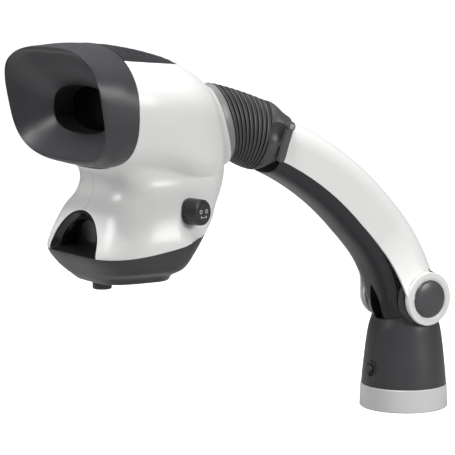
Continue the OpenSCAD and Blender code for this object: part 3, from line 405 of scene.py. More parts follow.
under_half = arm_half - 0.6


def under_skin(half, lift, shrink, run):
    """Under cover: below the seam a rounded channel, half cos^0.7 across, carried along
    the arm and run straight down at the foot."""
    h = np.concatenate([[heading_foot, heading_foot],
                        np.linspace(heading_foot, heading_end, 70)])[:, None]
    shift = np.concatenate([[34 + run, 16], np.zeros(70)])[:, None]
    top = seam_depth(h) + lift
    low = seam_depth(h) + 15.5 - np.maximum(0, h - 64) * 0.12 - shrink
    a = np.radians(np.linspace(0, 90, 20))[None, :]
    x = half * np.cos(a) ** 0.7
    d = np.maximum(top + 0.4, low - 22 * (1 - np.sin(a) ** 0.7))
    xs = np.hstack([0 * h - half, -x + 0 * h, (x + 0 * h)[:, ::-1][:, 1:], 0 * h + half])
    ds = np.hstack([top, d, d[:, ::-1][:, 1:], top])
    p = arm_point(h, xs, ds)
    p[..., 1] += shift * np.cos(np.radians(heading_foot))
    p[..., 2] -= shift * np.sin(np.radians(heading_foot))
    return p


lower = skin("arm_lower_skin", under_skin(under_half, 0.3, 0, 0), smooth=35)
foot = block("foot_room", (-60, -120, 40), (60, 120, 124))
carve(foot, [turned("foot_body", saddle_profile(-0.5), across(0))])
slot = np.array([[-9, 84], [9, 84], [9, 119], [8.2, 124], [6.6, 129.5], [4.5, 135], [2.2, 140],
                 [0, 143], [-2.2, 140], [-4.5, 135], [-6.6, 129.5], [-8.2, 124], [-9, 119]])
slot_ring = np.stack([slot[:, 0], 0 * slot[:, 0] - 20, slot[:, 1]], -1)
carve(lower, [foot, block("foot_back", (-60, 6, 60), (60, 66, 158)),
              turned("axle_room", [[axle_room_r, -70], [axle_room_r, 70]], across(0), 48),
              skin("slot", np.stack([slot_ring, slot_ring - [0, 60, 0]]))], smooth=35)
shell_black = finish("shell_black", "#212226", "#1c1d20", 0.32, 1500, 0.00003, 0.06)
lower.data.materials.append(shell_black)
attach(lower, "arm")
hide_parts("arm_lower_cover")
cap_dark = finish("cap_dark", "#4d4d4f", "#474749", 0.3, 1700, 0.00002, 0.05)
dress(["pivot_cap_left", "pivot_cap_right"], cap_dark)
cast_alloy = finish("cast_alloy", "#a9acae", "#8f9294", 0.5, 700, 0.00015, 0.1, 1.0)
dress(["arm_beam", "tilt_fork", "head_chassis", "pupil_carriage_left",
       "pupil_carriage_right"], cast_alloy)

# ---- Neck: clamp block, bellows and ring ---------------------------------------------
# The dark end block clamps the tilt joint with a small lever on its side. A rubber
# bellows of nine folds runs from it to a grey ring on the back of the head.

block_front, block_lean = np.array([-203, 318.5]), -14.5
neck_front, neck_lean = np.array([-260, 332.6]), 14.5
neck_half_w, neck_half_h = 30.0, 43.0
neck_ring_t = 10.0
neck_points = 120
bolt_place = np.array([0, -180.6, 328.4])


def oval(centre, lean, w, h, n):
    """Rounded oval across the neck that leans back by lean degrees."""
    t = np.linspace(0, 2 * np.pi, neck_points, endpoint=False)
    v = h * spow(np.sin(t), 2 / n)
    lean = np.radians(lean)
    return np.stack([w * spow(np.cos(t), 2 / n), centre[0] - np.sin(lean) * v,
                     centre[1] + np.cos(lean) * v], -1)


def on_plane(c, lean, d):
    """Point d in front of a leaning plane's centre."""
    return np.array(c) + d * np.array([np.cos(np.radians(lean)), np.sin(np.radians(lean))])


y_end, z_end = crown(heading_end)
slope = np.radians(heading_end)
block_drop, block_gap = 25, 0.3
rear = np.array([float(y_end) - block_drop * np.sin(slope) - block_gap * np.cos(slope),
                 float(z_end) - block_drop * np.cos(slope) + block_gap * np.sin(slope)])
# Share of the way, centre (y, z), lean, half width, half height and roundness.
block_rows = np.array([
    [0, *rear, -heading_end, 29.4, 26.6, 3.8], [0.35, -189, 314.6, -19, 29.6, 31, 3.2],
    [0.7, -198, 317.4, -16, 29.2, 37.2, 2.5], [1, *block_front, block_lean, 28, 38, 2.1]])
rings = []
for t in np.linspace(0, 1, 16):
    y, z, lean, w, h, n = along(block_rows, t)
    rings.append(oval((y, z), lean, w, h, n))
neck = skin("neck_block_skin", rings, smooth=35)
a = np.linspace(-np.pi / 2, np.pi / 2, 40)
block_side, scoop_radius = 28.4, 22
scoop = turned("scoop", np.stack([scoop_radius * np.cos(a) + 0.001, scoop_radius * np.sin(a)], -1),
               lambda p: p + [block_side + 17, -196, 321], 64)
carve(neck, [scoop, block("flat_r", (block_side, -240, 260), (60, -140, 380)),
             block("flat_l", (-60, -240, 260), (-block_side, -140, 380)),
             turned("bolt_room", [[3.04, -50], [3.04, 50]], across(0, bolt_place), 32)],
      smooth=35)
block_grey = finish("block_grey", "#4a4a4b", "#434344", 0.4, 1400, 0.00004, 0.07)
neck.data.materials.append(block_grey)
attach(neck, "arm")
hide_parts("neck_block")
lever_grey = finish("lever_grey", "#505052", "#464648", 0.35, 1400, 0.00002, 0.06)
bright_steel = finish("bright_steel", "#e4e6e8", "#d5d7d9", 0.22, 2600, 0.00001, 0.05, 1.0)
dress(["clamp_lever"], lever_grey)
dress(["clamp_stud"], bright_steel)


def ring_skin():
    """Neck ring: an oval band with rounded edges outside and a clear opening, from rows of
    a place along the neck and a distance inside the ring's outline."""
    rows = [(neck_ring_t, 6.0), (neck_ring_t, 1.6), (9.4, 0.6), (8.4, 0.2), (1.2, 0.0),
            (0.4, 0.25), (0.0, 0.9), (0.0, 6.0)]
    return [oval(on_plane(neck_front, neck_lean, d), neck_lean, neck_half_w - g,
                 neck_half_h - g, 2) for d, g in rows]


collar = skin("neck_ring_skin", ring_skin(), loop=True, smooth=50)
ring_grey = finish("ring_grey", "#848482", "#7c7c7a", 0.36, 1500, 0.00003, 0.06)
collar.data.materials.append(ring_grey)
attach(collar, "head")
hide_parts("neck_ring")


def bellows_skin(folds=9, per=14):
    """Bellows: ovals carried from the block to the ring while their lean turns over, each
    fold dipping by 3 mm between flat crests. Returns the points and each row's share of
    the painted highlight, which is lighter along the shoulders of each crest."""
    u = np.arange(folds * per + 1) / per
    part = u % 1.0
    dip = np.clip(np.abs((part + 0.5) % 1 - 0.5) / 0.17, 0, 1)
    dip = 1 - (3 * dip**2 - 2 * dip**3)
    bulge = 0.35 * np.sin(np.pi * np.clip((part - 0.17) / 0.66, 0, 1))
    t = u / folds
    start = on_plane(block_front, block_lean, -0.3)
    end = on_plane(neck_front, neck_lean, neck_ring_t + 0.3)
    fold, inset, wall = 3, 0.8, 5
    start_w, start_h = 28, 38
    rows = []
    for k in range(len(t)):
        g = -fold * dip[k] + bulge[k] - 0.35
        rows.append(oval(start + (end - start) * t[k],
                         block_lean + (neck_lean - block_lean) * t[k],
                         start_w + (neck_half_w - inset - start_w) * t[k] + g,
                         start_h + (neck_half_h - inset - start_h) * t[k] + g, 2))
    inner = [oval(start + (end - start) * q, block_lean + (neck_lean - block_lean) * q,
                  start_w + 1.2 * q - wall, start_h + 4.2 * q - wall, 2)
             for q in np.linspace(1, 0, 12)]
    # Painted highlight: two soft lighter lines along the shoulders of each crest.
    edge = np.exp(-(((part - 0.3) / 0.07) ** 2)) + np.exp(-(((part - 0.7) / 0.07) ** 2))
    return rows + inner, np.concatenate([edge * 0.8, np.zeros(12)])


rows, painted_ridge_highlight = bellows_skin()
bellows = skin("bellows_skin", rows, loop=True, smooth=60)
# The crest shoulders of each fold carry a painted highlight, stored per point.
marks = bellows.data.attributes.new("painted_ridge_highlight", "FLOAT", "POINT")
marks.data.foreach_set("value", np.repeat(painted_ridge_highlight, neck_points).astype(np.float32))
rubber = finish("bellows_rubber_skin", "#19191b", "#141416", 0.5, 1600, 0.00004, 0.08)
tree = rubber.node_tree
# Painted highlight: the rubber's colour is mixed towards a lighter grey along the crest shoulders.
ridge_highlight_node = tree.nodes.new("ShaderNodeAttribute")
ridge_highlight_node.attribute_name = "painted_ridge_highlight"
lighter = tree.nodes.new("ShaderNodeMix")
lighter.data_type = "RGBA"
lighter.inputs["B"].default_value = tone("#707072")
first = tree.nodes["Principled BSDF"].inputs["Base Color"].links[0].from_socket
tree.links.new(ridge_highlight_node.outputs["Fac"], lighter.inputs["Factor"])
tree.links.new(first, lighter.inputs["A"])
tree.links.new(lighter.outputs["Result"], tree.nodes["Principled BSDF"].inputs["Base Color"])
bellows.data.materials.append(rubber)
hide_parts("bellows")
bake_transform(bellows)

# ---- Head shells ---------------------------------------------------------------------
# Two thin pale mouldings meet on X = 0. A broad upper body flows from the hood to the
# neck ring, and a narrower lower body hangs under it, blended softly in front and
# running out to a sharp crease at the back. A shallow dish holds the knob.

hood_y = -406.0
head_seam_half = 0.22
# Place along Y, height of the centre, half width, height above and below, and lean.
upper_rows = np.array([
    [-406, 358, 100, 63, 62, 0], [-380, 356, 98.5, 61.5, 62, 1],
    [-350, 352.5, 93, 59.5, 66, 3.5], [-320, 347.5, 81, 57, 71.5, 7],
    [-290, 341, 61, 52, 64, 11], [-272, 336, 42, 47, 50.5, 13.5],
    [-260, 332.6, 31, 43.6, 43.6, neck_lean]])
# Height, front, back, half width and roundness in front.
lower_rows = np.array([
    [177, -409, -322.5, 44, 4], [183, -416, -321, 50, 4], [192, -422, -314, 72, 4],
    [207, -430, -303, 83, 4], [222, -426, -289.5, 85, 3.7], [238, -420, -275, 81, 3.4],
    [252, -414, -267, 75, 3.1], [264, -405, -258.5, 67, 3], [277, -402, -252, 59, 3],
    [290, -403, -250.5, 57, 3], [305, -404, -256, 57, 3], [330, -396, -266, 48, 3]])
lower_foot, lower_top = lower_rows[0, 0], lower_rows[-1, 0]
body_mid = -352.0
knob_base = np.array([70, -327.5, 251])
knob_turn = np.radians(20)


def from_knob(p):
    """Turns local points, height along the knob's axis, into the shared frame."""
    axis = np.array([np.cos(knob_turn), np.sin(knob_turn), 0])
    side = np.array([-np.sin(knob_turn), np.cos(knob_turn), 0])
    down = np.array([0, 0, -1.0])
    return knob_base + p[..., :1] * down + p[..., 1:2] * side + p[..., 2:] * axis


def upper_gap(p):
    """How far outside the upper body a point is, about in mm: its station along the body
    is found by turns, then its radius is set against the rounded oval there."""
    s = p[..., 1].copy()
    for _ in range(6):
        zc, w, up, down, lean = along(upper_rows, np.clip(s, hood_y, neck_front[0]))
        lean = np.radians(lean)
        v = (p[..., 2] - zc) / np.cos(lean)
        s = p[..., 1] + np.sin(lean) * v
    n = np.where(v > 0, 2.2, 2.8 + 0.4 * np.clip((s + 350) / 50, 0, 1))
    rho = (np.abs(p[..., 0] / w) ** n + np.abs(v / np.where(v > 0, up, down)) ** n) ** (1 / n)
    return np.maximum(np.maximum((rho - 1) * 60, s - neck_front[0]), hood_y - s)


def lower_gap(p):
    """The same for the lower body, whose section is round behind and squarer in front."""
    front, back, w, n_front = along(lower_rows, np.clip(p[..., 2], lower_foot, lower_top))
    q = p[..., 1] - body_mid
    n = np.where(q > 0, 2, n_front)
    depth = np.where(q > 0, back - body_mid, body_mid - front)
    rho = (np.abs(p[..., 0] / w) ** n + np.abs(q / depth) ** n) ** (1 / n)
    return np.maximum((rho - 1) * 60, p[..., 2] - lower_top)


dish_radius, dish_depth, dish_fillet = 42.0, 5.5, 2.0
dish_centre = from_knob(np.array([0, 0, dish_radius - dish_depth]))


def head_gap(p, dished):
    """Both bodies joined with a fillet that narrows to the back, less the knob's dish on
    the side that has it."""
    u, low = upper_gap(p), lower_gap(p)
    k = 1 + 13 * np.clip((-300 - p[..., 1]) / 100, 0, 1)
    near = np.maximum(k - np.abs(u - low), 0) / k
    both = np.minimum(u, low) - near**2 * k / 4
    if not dished:
        return both
    dish = dish_radius - np.linalg.norm(p - dish_centre, axis=-1)
    near = np.maximum(dish_fillet - np.abs(both - dish), 0) / dish_fillet
    return np.maximum(both, dish) + near**2 * dish_fillet / 4


head_centre = np.array([0, -345.0, 320.0])


def reach(direction, dished):
    """Distance from the head's centre to its surface along each direction, by halving."""
    low = np.full(direction.shape[:-1], 5.0)
    high = np.full(direction.shape[:-1], 190.0)
    for _ in range(24):
        mid = (low + high) / 2
        out = head_gap(head_centre + mid[..., None] * direction, dished) > 0
        high, low = np.where(out, mid, high), np.where(out, low, mid)
    return (low + high) / 2


def head_half(side, rows=170, points=130):
    """Half shell: rays from the head's centre, from the rim at the hood round to the neck,
    meet the outside and then, on the way back, the inside of the wall. On the knob's side
    the wall is thicker round its bush."""
    theta = np.radians(np.linspace(-90, 90, points))
    ring = np.linspace(-np.pi / 2, np.pi / 2, 2000)
    rim_z, rim_w, rim_up, rim_down = upper_rows[0, 1:5]
    power = 2 / np.where(ring > 0, 2.2, 2.8)
    v = np.where(np.sin(ring) > 0, rim_up, rim_down) * spow(np.sin(ring), power)
    x = rim_w * spow(np.cos(ring), power)
    above = rim_z + v - head_centre[2]
    polar = np.arctan2(above, np.maximum(x, 0))
    order = np.argsort(polar)
    wide = np.interp(theta, polar[order], np.hypot(x, above)[order])
    ahead = head_centre[1] - hood_y
    first = np.arctan2(wide, ahead)
    step = np.linspace(0, 1, rows)[:, None]
    phi = first + (np.pi - 0.03 - first) * step
    aim = np.stack([np.sin(phi) * np.cos(theta), -np.cos(phi), np.sin(phi) * np.sin(theta)], -1)
    outer = reach(aim, side > 0)
    outer[0] = ahead / -aim[0, :, 1]
    wall_t, boss_t, boss_r = 2.8, 7, 26
    from_boss = np.linalg.norm(head_centre + outer[..., None] * aim - knob_base, axis=-1)
    wall = wall_t + boss_t * (side > 0) * np.exp(-(from_boss / boss_r) ** 4)
    inner = outer - wall / np.maximum(0.45, np.sin(phi) ** 0.5)
    a = head_centre + outer[..., None] * aim
    b = head_centre + inner[..., None] * aim
    b[0] = a[0] - (a[0] - [0, hood_y, rim_z]) * 0.035
    loop = np.concatenate([a, b[:, ::-1]], 1)
    loop[..., 0] = side * (np.maximum(loop[..., 0], 0) + head_seam_half)
    return loop


trim_gap = 0.15
joint_y, joint_z = -430, 207
arch_w, arch_h, arch_z = 48, 45, 206
leaf_w, leaf_l = 70, 95


def trim_height(y):
    """Height of the joint between the pale shells and the dark skirt."""
    return joint_z + 0.06 * (y - joint_y) + 0.0008 * (y - joint_y) ** 2


def trim_tool(lift):
    """Everything below the skirt's joint."""
    y = np.linspace(-445, -225, 40)
    edge = np.stack([y, trim_height(y) + lift], -1)
    outline = np.vstack([edge, [[-225, 100], [-445, 100]]])
    ring = np.stack([0 * outline[:, 0] - 150, outline[:, 0], outline[:, 1]], -1)
    return skin("trim", np.stack([ring, ring + [300, 0, 0]]))


def arch_outline(grow, foot, points=48):
    """Half oval of the arch with a straight foot."""
    a = np.linspace(np.pi, 0, points)
    return np.vstack([[[-arch_w - grow, -foot]],
                      np.stack([(arch_w + grow) * np.cos(a), (arch_h + grow) * np.sin(a)], -1),
                      [[arch_w + grow, -foot]]])


def arch_tool(grow, y0, y1, foot):
    """Prism of the arch from y0 to y1, used to cut."""
    o = arch_outline(grow, foot)
    ring = np.stack([o[:, 0], 0 * o[:, 0] + y0, arch_z + o[:, 1]], -1)
    return skin("arch", np.stack([ring, ring + [0, y1 - y0, 0]]))


def leaf_tool(grow):
    """Upright prism with the leaf outline of the vent."""
    a = np.linspace(0, np.pi, 60)
    ring = np.stack([(leaf_w + grow) * np.cos(a), hood_y + (leaf_l + grow) * np.sin(a),
                     0 * a + 365], -1)
    ring[[0, -1], 1] = hood_y - 2
    return skin("leaf", np.stack([ring, ring + [0, 0, 80]]))


def neck_tool():
    """Room behind the head's face against the neck ring."""
    lean = np.radians(neck_lean)
    box = np.array([[0, -44], [40, -44], [40, 44], [0, 44.0]])
    y = neck_front[0] + box[:, 0] * np.cos(lean) - box[:, 1] * np.sin(lean)
    z = neck_front[1] + box[:, 0] * np.sin(lean) + box[:, 1] * np.cos(lean)
    ring = np.stack([0 * y - 50, y, z], -1)
    return skin("neck_room", np.stack([ring, ring + [100, 0, 0]]))


for side, word in ((-1, "left"), (1, "right")):
    shell = skin(f"head_skin_{word}", head_half(side), smooth=180)
    carve(shell, [trim_tool(trim_gap), arch_tool(trim_gap, y0=-470, y1=-390, foot=10),
                  leaf_tool(trim_gap), neck_tool()], smooth=40)
    shell.data.materials.append(shell_pale)
    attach(shell, "head")
    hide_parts(f"head_shell_{word}")

# ---- Hood and viewing window ---------------------------------------------------------
# One dark moulding with a spark-eroded grain: outside it carries on the head's shape to
# a broad rim, inside it closes in like a funnel to the oval viewing window.


hood_points = 180


def hood_rings(rows, steps):
    """Ovals eased from one row of the table to the next. A row holds the place along Y, the
    height of the centre, the half width, the height above and below, the roundness above
    and below, the taper and the lean."""
    table = np.column_stack([np.arange(len(rows)), np.asarray(rows, float)])
    s = np.concatenate([np.linspace(k, k + 1, n, endpoint=False) for k, n in enumerate(steps)]
                       + [[len(rows) - 1]])
    y, zc, w, up, down, n_up, n_down, taper, lean = (
        v[:, None] for v in along(table, np.minimum(s, len(rows) - 1 - 1e-9)))
    a = np.linspace(0, 2 * np.pi, hood_points, endpoint=False)[None, :]
    e = 2 / np.where(np.sin(a) > 0, n_up, n_down)
    v = np.where(np.sin(a) > 0, up, down) * spow(np.sin(a), e)
    x = (w + taper * v / 60) * spow(np.cos(a), e)
    return np.stack([x, y - lean * v - 4 * lean / 0.183 * x * x / 10000, zc + v], -1)


hood_outside = hood_rings([
    (-406.3, 358, 100, 63, 62, 2.2, 2.8, 0, 0), (-422, 359, 100.7, 62.4, 62, 2.5, 3, 1.5, 0.06),
    (-435, 359.5, 100.7, 60.2, 60, 2.7, 3, 2.2, 0.15),
    (-442, 359.6, 100.2, 59, 59, 2.9, 3.1, 2.6, 0.183),
    (-443.4, 359.6, 99.4, 56.4, 56.4, 3.3, 3.3, 2.6, 0.183),
    (-442.6, 359.6, 98, 53.2, 53.2, 3.9, 3.6, 2.8, 0.183),
    (-440, 359.2, 95.6, 50.6, 50.8, 3.8, 3.5, 2.6, 0.17),
    (-432, 357.5, 86, 42, 43, 3.4, 3.3, 2, 0.1), (-422, 355, 69, 30, 31, 2.9, 2.9, 0, 0.04),
    (-416, 354, 60, 25, 25, 2.6, 2.6, 0, 0), (-413, 354, 58.6, 24.2, 24.2, 2.6, 2.6, 0, 0),
    (-394, 354, 56, 23, 23, 2.6, 2.6, 0, 0)], [8, 8, 6, 4, 4, 4, 6, 8, 6, 3, 3])
hood_inside = hood_rings([
    (-394, 354, 59, 26, 26, 2.6, 2.6, 0, 0), (-413, 354, 64, 29, 29, 2.6, 2.6, 0, 0),
    (-420, 355.5, 74, 36, 37, 2.9, 2.9, 0, 0.04), (-431, 358, 94, 51, 51, 3, 3.1, 2, 0.12),
    (-420, 359, 98, 59.6, 59, 2.5, 3, 1.5, 0.04),
    (-406.3, 358, 97, 60, 59, 2.2, 2.8, 0, 0)], [3, 3, 3, 3, 3])
hood = skin("hood_skin", np.concatenate([hood_outside, hood_inside]), loop=True, smooth=50)
hood_dark = finish("hood_dark", "#434346", "#313134", 0.38, 1300, 0.00012, 0.1)
hood.data.materials.append(hood_dark)
# The throat behind the funnel is painted near black as painted shade, so its walls show no light.
throat_painted_shade = finish("throat_painted_shade", "#0b0b0c", "#080809", 0.7, 900, 0.00002, 0.05)
hood.data.materials.append(throat_painted_shade)
ring_y = np.concatenate([hood_outside, hood_inside])[:, :, 1].mean(1)
past_funnel, throat_y = 55, -416.5
in_throat = (np.arange(len(ring_y)) >= past_funnel) & (ring_y > throat_y)
hood.data.polygons.foreach_set("material_index",
                               np.repeat(in_throat.astype(np.int32), hood_points))
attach(hood, "head")
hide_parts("hood")
dark_glass = finish("dark_glass", "#040405", "#060608", 0.12, 800, 0.000001, 0.02, ior=1.15)
mirror_face = finish("mirror_face", "#3a4048", "#30363e", 0.12, 900, 0.000001, 0.03, 1.0)
dress(["viewing_lens", "objective_lenses"], dark_glass)
dress(["fold_mirror", "relay_mirror", "pupil_mirror_left", "pupil_mirror_right"], mirror_face)

# ---- Vent ----------------------------------------------------------------------------
# A leaf-shaped black panel clips into the crown of the head behind the hood. Slanted
# louvres let the lamp's heat out.


def crown_of_head(x, y):
    """Height of the upper body's top at (x, y), found by halving."""
    low, high = np.full(x.shape, 345.0), np.full(x.shape, 440.0)
    for _ in range(22):
        mid = (low + high) / 2
        out = upper_gap(np.stack([x, y, mid], -1)) > 0
        high, low = np.where(out, mid, high), np.where(out, low, mid)
    return low


def vent_skin(rows=420, points=80):
    """Panel: rows across the leaf, each running over the top and back underneath. Louvres
    are saw teeth along y, faded out towards the leaf's edge."""
    y = -405.8 + 94.3 * np.sin(np.linspace(0, np.pi / 2 - 0.02, rows))[:, None]
    behind = y - hood_y
    half = 69.8 * np.sqrt(np.clip(1 - (behind / leaf_l) ** 2, 0, 1))
    u = np.linspace(-1, 1, points)[None, :]
    x = half * u
    top = crown_of_head(x, y + 0 * x) + 0.2
    first_louvre, louvre_pitch = 12, 9
    tooth = ((behind - first_louvre) / louvre_pitch) % 1.0
    slot_from, slot_depth, fin_height = 0.52, 2.2, 0.5
    slant = np.clip((tooth - slot_from) / 0.06, 0, 1) * np.clip((1 - tooth) / 0.12, 0, 1)
    span = np.clip((0.74 - np.abs(u)) / 0.03, 0, 1)
    inside = ((behind > 10) & (behind < 84)).astype(float)
    raise_fin = fin_height * np.clip(tooth / 0.5, 0, 1) * span * inside
    top = top + raise_fin * (tooth < slot_from) - slot_depth * slant * span * inside
    bottom = crown_of_head(x, y + 0 * x) - 2.9
    grid = np.concatenate([np.stack([x, y + 0 * x, top], -1),
                           np.stack([x, y + 0 * x, bottom], -1)[:, ::-1]], 1)
    return grid


vent = skin("vent_skin", vent_skin(), smooth=30)
vent_black = finish("vent_black", "#2a2a2d", "#232325", 0.38, 1500, 0.00005, 0.08)
vent.data.materials.append(vent_black)
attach(vent, "head")
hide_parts("vent_panel")

# ---- Arch, skirt and bottom ----------------------------------------------------------
# A glossy black tub lines the arch in front. The dark skirt closes the head's foot and a
# flat bottom cover leaves a round hole for the turret with its two objectives.


def lower_front(x, z):
    """Front of the lower body at (x, z)."""
    front, _, w, n = along(lower_rows, np.clip(z, lower_foot, lower_top))
    return body_mid - (body_mid - front) * np.clip(1 - np.abs(x / w) ** n, 0, 1) ** (1 / n)


def tub_skin():
    """Arch tub: outlines of the arch, from its back along the outside, round the lip that
    follows the head's front, and in by two steps to the closed back."""
    tub_back, tub_floor = -401, -404
    rows = []
    for grow, inset in ((-trim_gap, None), (-trim_gap, 0.9), (-0.6, 0.4), (-1.6, 0.4), (-2.4, 0.8),
                        (-3.0, 1.6), (-5.2, 4), (-7.5, 7), (-7.9, 6.4), (-8.5, 6.6),
                        (-9.2, 8), (-11, 16), (-11.5, None)):
        o = arch_outline(grow, 0 if grow > -1 else grow * 0.5, 60)
        x, z = o[:, 0], arch_z + o[:, 1]
        if inset is None:
            y = (tub_back if grow > -1 else tub_floor) + 0 * x
        else:
            y = np.minimum(lower_front(x, z) + inset, -404.2)
        rows.append(np.stack([x, y, z], -1))
    return rows


tub = skin("arch_skin", tub_skin(), smooth=35)
tub.data.materials.append(gloss_black)
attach(tub, "head")
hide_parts("arch_frame")


def lower_ring(z, t, points=200):
    """Ring of the lower body at heights z, shrunk by t."""
    a = np.linspace(0, 2 * np.pi, points, endpoint=False)
    front, back, w, n = along(lower_rows, np.clip(z, lower_foot, lower_top))
    e = np.where(np.sin(a) > 0, 1, 2 / n)
    depth = np.where(np.sin(a) > 0, back - body_mid, body_mid - front) - t
    return np.stack([(w - t) * spow(np.cos(a), e), body_mid + depth * spow(np.sin(a), e),
                     z + 0 * a], -1)


plate_top, skirt_foot = 184.2, 184.5


def skirt_skin(rows=24, points=200):
    """Skirt: rings of the lower body from its bottom edge up to the joint curve, over the
    edge and down inside."""
    joint = np.full(points, float(joint_z))
    for _ in range(8):
        joint = trim_height(lower_ring(joint, 0)[:, 1]) - trim_gap
    grid = []
    for t in (0, 3):
        rise = np.linspace(0, 1, rows)
        ring = [lower_ring(skirt_foot + (joint - skirt_foot) * r, t) for r in rise]
        grid += ring if t == 0 else ring[::-1]
    return grid


skirt = skin("skirt_skin", skirt_skin(), loop=True, smooth=40)
skirt_dark = finish("skirt_dark", "#39393b", "#323234", 0.42, 1500, 0.00006, 0.08)
skirt.data.materials.append(skirt_dark)
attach(skirt, "head")
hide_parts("skirt")


def bottom_skin():
    """Bottom cover: a thick plate with the head's outline and a round hole."""
    hole_radius, hole_y = 39.3, -364.5
    a = np.linspace(0, 2 * np.pi, 200, endpoint=False)
    hole = [np.stack([hole_radius * np.cos(a), hole_y + hole_radius * np.sin(a), z + 0 * a], -1)
            for z in (plate_top, lower_foot)]
    edge = ((lower_foot, 1.4), (177.5, 0.6), (179, 0.4), (182, 0.4), (plate_top, 0.4))
    return hole + [lower_ring(np.full(200, z), t) for z, t in edge]


bottom = skin("bottom_skin", bottom_skin(), loop=True, smooth=40)
bottom.data.materials.append(skirt_dark)
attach(bottom, "head")
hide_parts("bottom_cover")
barrel_dark = finish("barrel_dark", "#3a3a3c", "#343436", 0.36, 1700, 0.00003, 0.06)
lamp_pale = finish("lamp_pale", "#f2f2ea", "#ebebe2", 0.4)
dress(["objective_barrels"], barrel_dark)
dress(["turret_disc"], gloss_black)
dress(["lamp_ring"], lamp_pale)

# ---- Eye-distance knob ---------------------------------------------------------------
# A short moulded knob with a grooved face. A printed sign shows two pupils and the way
# they move apart.

knob = turned("knob_skin", [
    [3.01, -4.6], [12.9, -4.6], [13.6, -4.0], [13.75, 0.4], [13.55, 6], [13.35, 12.2],
    [13.1, 13.4], [12.6, 14.2], [11.9, 14.8], [11.3, 15], [11.1, 14.9], [10.95, 14.4],
    [10.7, 14.3], [10.5, 14.7], [10.2, 15], [6, 15.1], [0.01, 15.12]], from_knob, 120)
knob_black = finish("knob_black", "#333335", "#2c2c2e", 0.38, 1700, 0.00004, 0.07)
knob.data.materials.append(knob_black)
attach(knob, "eye_knob")
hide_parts("ipd_knob")


print_low, print_high = 15.0, 15.2


def ribbon(name, path, width, closed):
    """Printed line: a flat band of this width along a path on the knob's face."""
    path = np.asarray(path, float)
    ahead = np.roll(path, -1, 0) - np.roll(path, 1, 0)
    if not closed:
        ahead[0], ahead[-1] = path[1] - path[0], path[-1] - path[-2]
    ahead /= np.linalg.norm(ahead, axis=1)[:, None]
    normal = np.stack([-ahead[:, 1], ahead[:, 0]], -1) * width / 2
    corners = [(path - normal, print_low), (path - normal, print_high),
               (path + normal, print_high), (path + normal, print_low)]
    grid = np.stack([np.column_stack([p, np.full(len(p), h)]) for p, h in corners], 1)
    return skin(name, from_knob(grid), loop=closed)


turn = np.linspace(0, 2 * np.pi, 40, endpoint=False)
pupil_r, pupil_y = 1.7, 4.6
signs = [ribbon(f"pupil_sign_{k}", np.stack([-1.0 + pupil_r * np.cos(turn),
                                            s * pupil_y + pupil_r * np.sin(turn)], -1),
                0.6, True)
         for k, s in ((0, -1), (1, 1))]
bow = np.linspace(-4.4, 4.4, 24)
signs.append(ribbon("travel_sign", np.stack([5.2 - 0.05 * bow**2, bow], -1), 0.5, False))
for k, s in ((0, -1), (1, 1)):
    tip = np.array([4.2, s * pupil_y])
    signs.append(ribbon(f"arrow_sign_{k}", np.array([
        tip + [-0.6, -s * 1.7], tip, tip + [1.5, -s * 0.9]]), 0.5, False))
sign_white = finish("sign_white", "#e6e6e4", "#dededc", 0.5)
for sign in signs:
    sign.data.materials.append(sign_white)
    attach(sign, "eye_knob")

# ---- Studio --------------------------------------------------------------------------
# A floor under three soft lamps. The floor and the world look plain white to the camera,
# and reflections see a grey floor and a dim sky.

world = bpy.data.worlds.new("studio")
bpy.context.scene.world = world
world.use_nodes = True
tree = world.node_tree
link = tree.links.new
soft = tree.nodes["Background"]
soft.inputs["Color"].default_value = (0.93, 0.95, 1, 1)
soft.inputs["Strength"].default_value = 0.2
white = tree.nodes.new("ShaderNodeBackground")
white.inputs["Color"].default_value = (1, 1, 1, 1)
white.inputs["Strength"].default_value = 1
rays = tree.nodes.new("ShaderNodeLightPath")
pick = tree.nodes.new("ShaderNodeMixShader")
link(rays.outputs["Is Camera Ray"], pick.inputs["Fac"])
link(soft.outputs["Background"], pick.inputs[1])
link(white.outputs["Background"], pick.inputs[2])
link(pick.outputs["Shader"], tree.nodes["World Output"].inputs["Surface"])

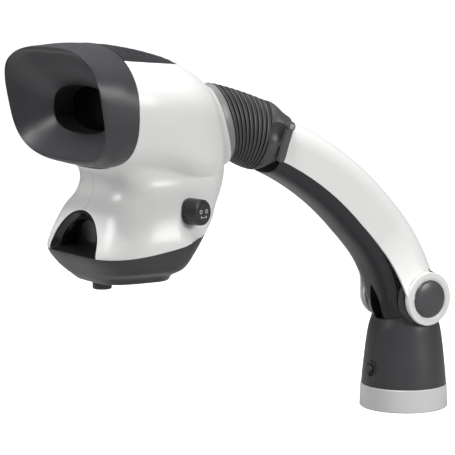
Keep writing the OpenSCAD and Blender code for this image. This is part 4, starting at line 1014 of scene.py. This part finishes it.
floor_mesh = bpy.data.meshes.new("floor")
floor_half = 40
floor_mesh.from_pydata([(x * floor_half, y * floor_half, 0)
                        for x, y in ((-1, -1), (1, -1), (1, 1), (-1, 1))], [], [(0, 1, 2, 3)])
floor = bpy.data.objects.new("floor", floor_mesh)
bpy.context.scene.collection.objects.link(floor)
paper = bpy.data.materials.new("floor_paper")
paper.use_nodes = True
tree = paper.node_tree
link = tree.links.new
sheet = tree.nodes["Principled BSDF"]
sheet.inputs["Base Color"].default_value = (0.5, 0.5, 0.5, 1)
sheet.inputs["Roughness"].default_value = 0.9
rays = tree.nodes.new("ShaderNodeLightPath")
sheet.inputs["Emission Color"].default_value = (1, 1, 1, 1)
glow = tree.nodes.new("ShaderNodeMath")
glow.operation = "MULTIPLY"
glow.inputs[1].default_value = 1.0
link(rays.outputs["Is Camera Ray"], glow.inputs[0])
link(glow.outputs[0], sheet.inputs["Emission Strength"])
floor.data.materials.append(paper)


def facing(side, up, back, place):
    """Matrix of a lamp or camera at place that looks away from back."""
    turned_axes = np.stack([side, up, back], 1).tolist()
    return Matrix([[*row, p] for row, p in zip(turned_axes, place)] + [[0, 0, 0, 1]])


def lamp(name, place, target, size, watts):
    """Square soft lamp at place that faces target."""
    data = bpy.data.lights.new(name, "AREA")
    data.size = size
    data.energy = watts
    light = bpy.data.objects.new(name, data)
    light.location = place
    aim = np.array(target) - np.array(place)
    back = -aim / np.linalg.norm(aim)
    side = np.cross([0, 0.001, 1], back)
    side /= np.linalg.norm(side)
    up = np.cross(back, side)
    light.matrix_world = facing(side, up, back, place)
    bpy.context.scene.collection.objects.link(light)


lamp("lamp_top", (0.1, -0.7, 2.0), (0, -0.25, 0.2), size=0.8, watts=42)
lamp("lamp_left", (-0.6, -1.9, 1.3), (0, -0.35, 0.3), size=0.5, watts=12)
lamp("lamp_right", (2.0, 0.7, 1.0), (0, -0.2, 0.25), size=0.8, watts=24)

# The camera stands where the photo was taken from, found by fitting points of the object.
turn, climb = np.radians(57), np.radians(7.5)
back = np.array([np.sin(turn) * np.cos(climb), -np.cos(turn) * np.cos(climb), np.sin(climb)])
right = np.array([np.cos(turn), np.sin(turn), 0])
up = np.cross(back, right)
focal_px, picture_px = 2100, 455
view = bpy.data.cameras.new("camera")
view.sensor_width = 36
view.lens = view.sensor_width * focal_px / picture_px
view.clip_start = 0.05
camera = bpy.data.objects.new("camera", view)
camera.matrix_world = facing(right, up, back, [1.86198, -1.44834, 0.51301])
bpy.context.scene.collection.objects.link(camera)
bpy.context.scene.camera = camera
bpy.context.scene.view_settings.view_transform = "Standard"
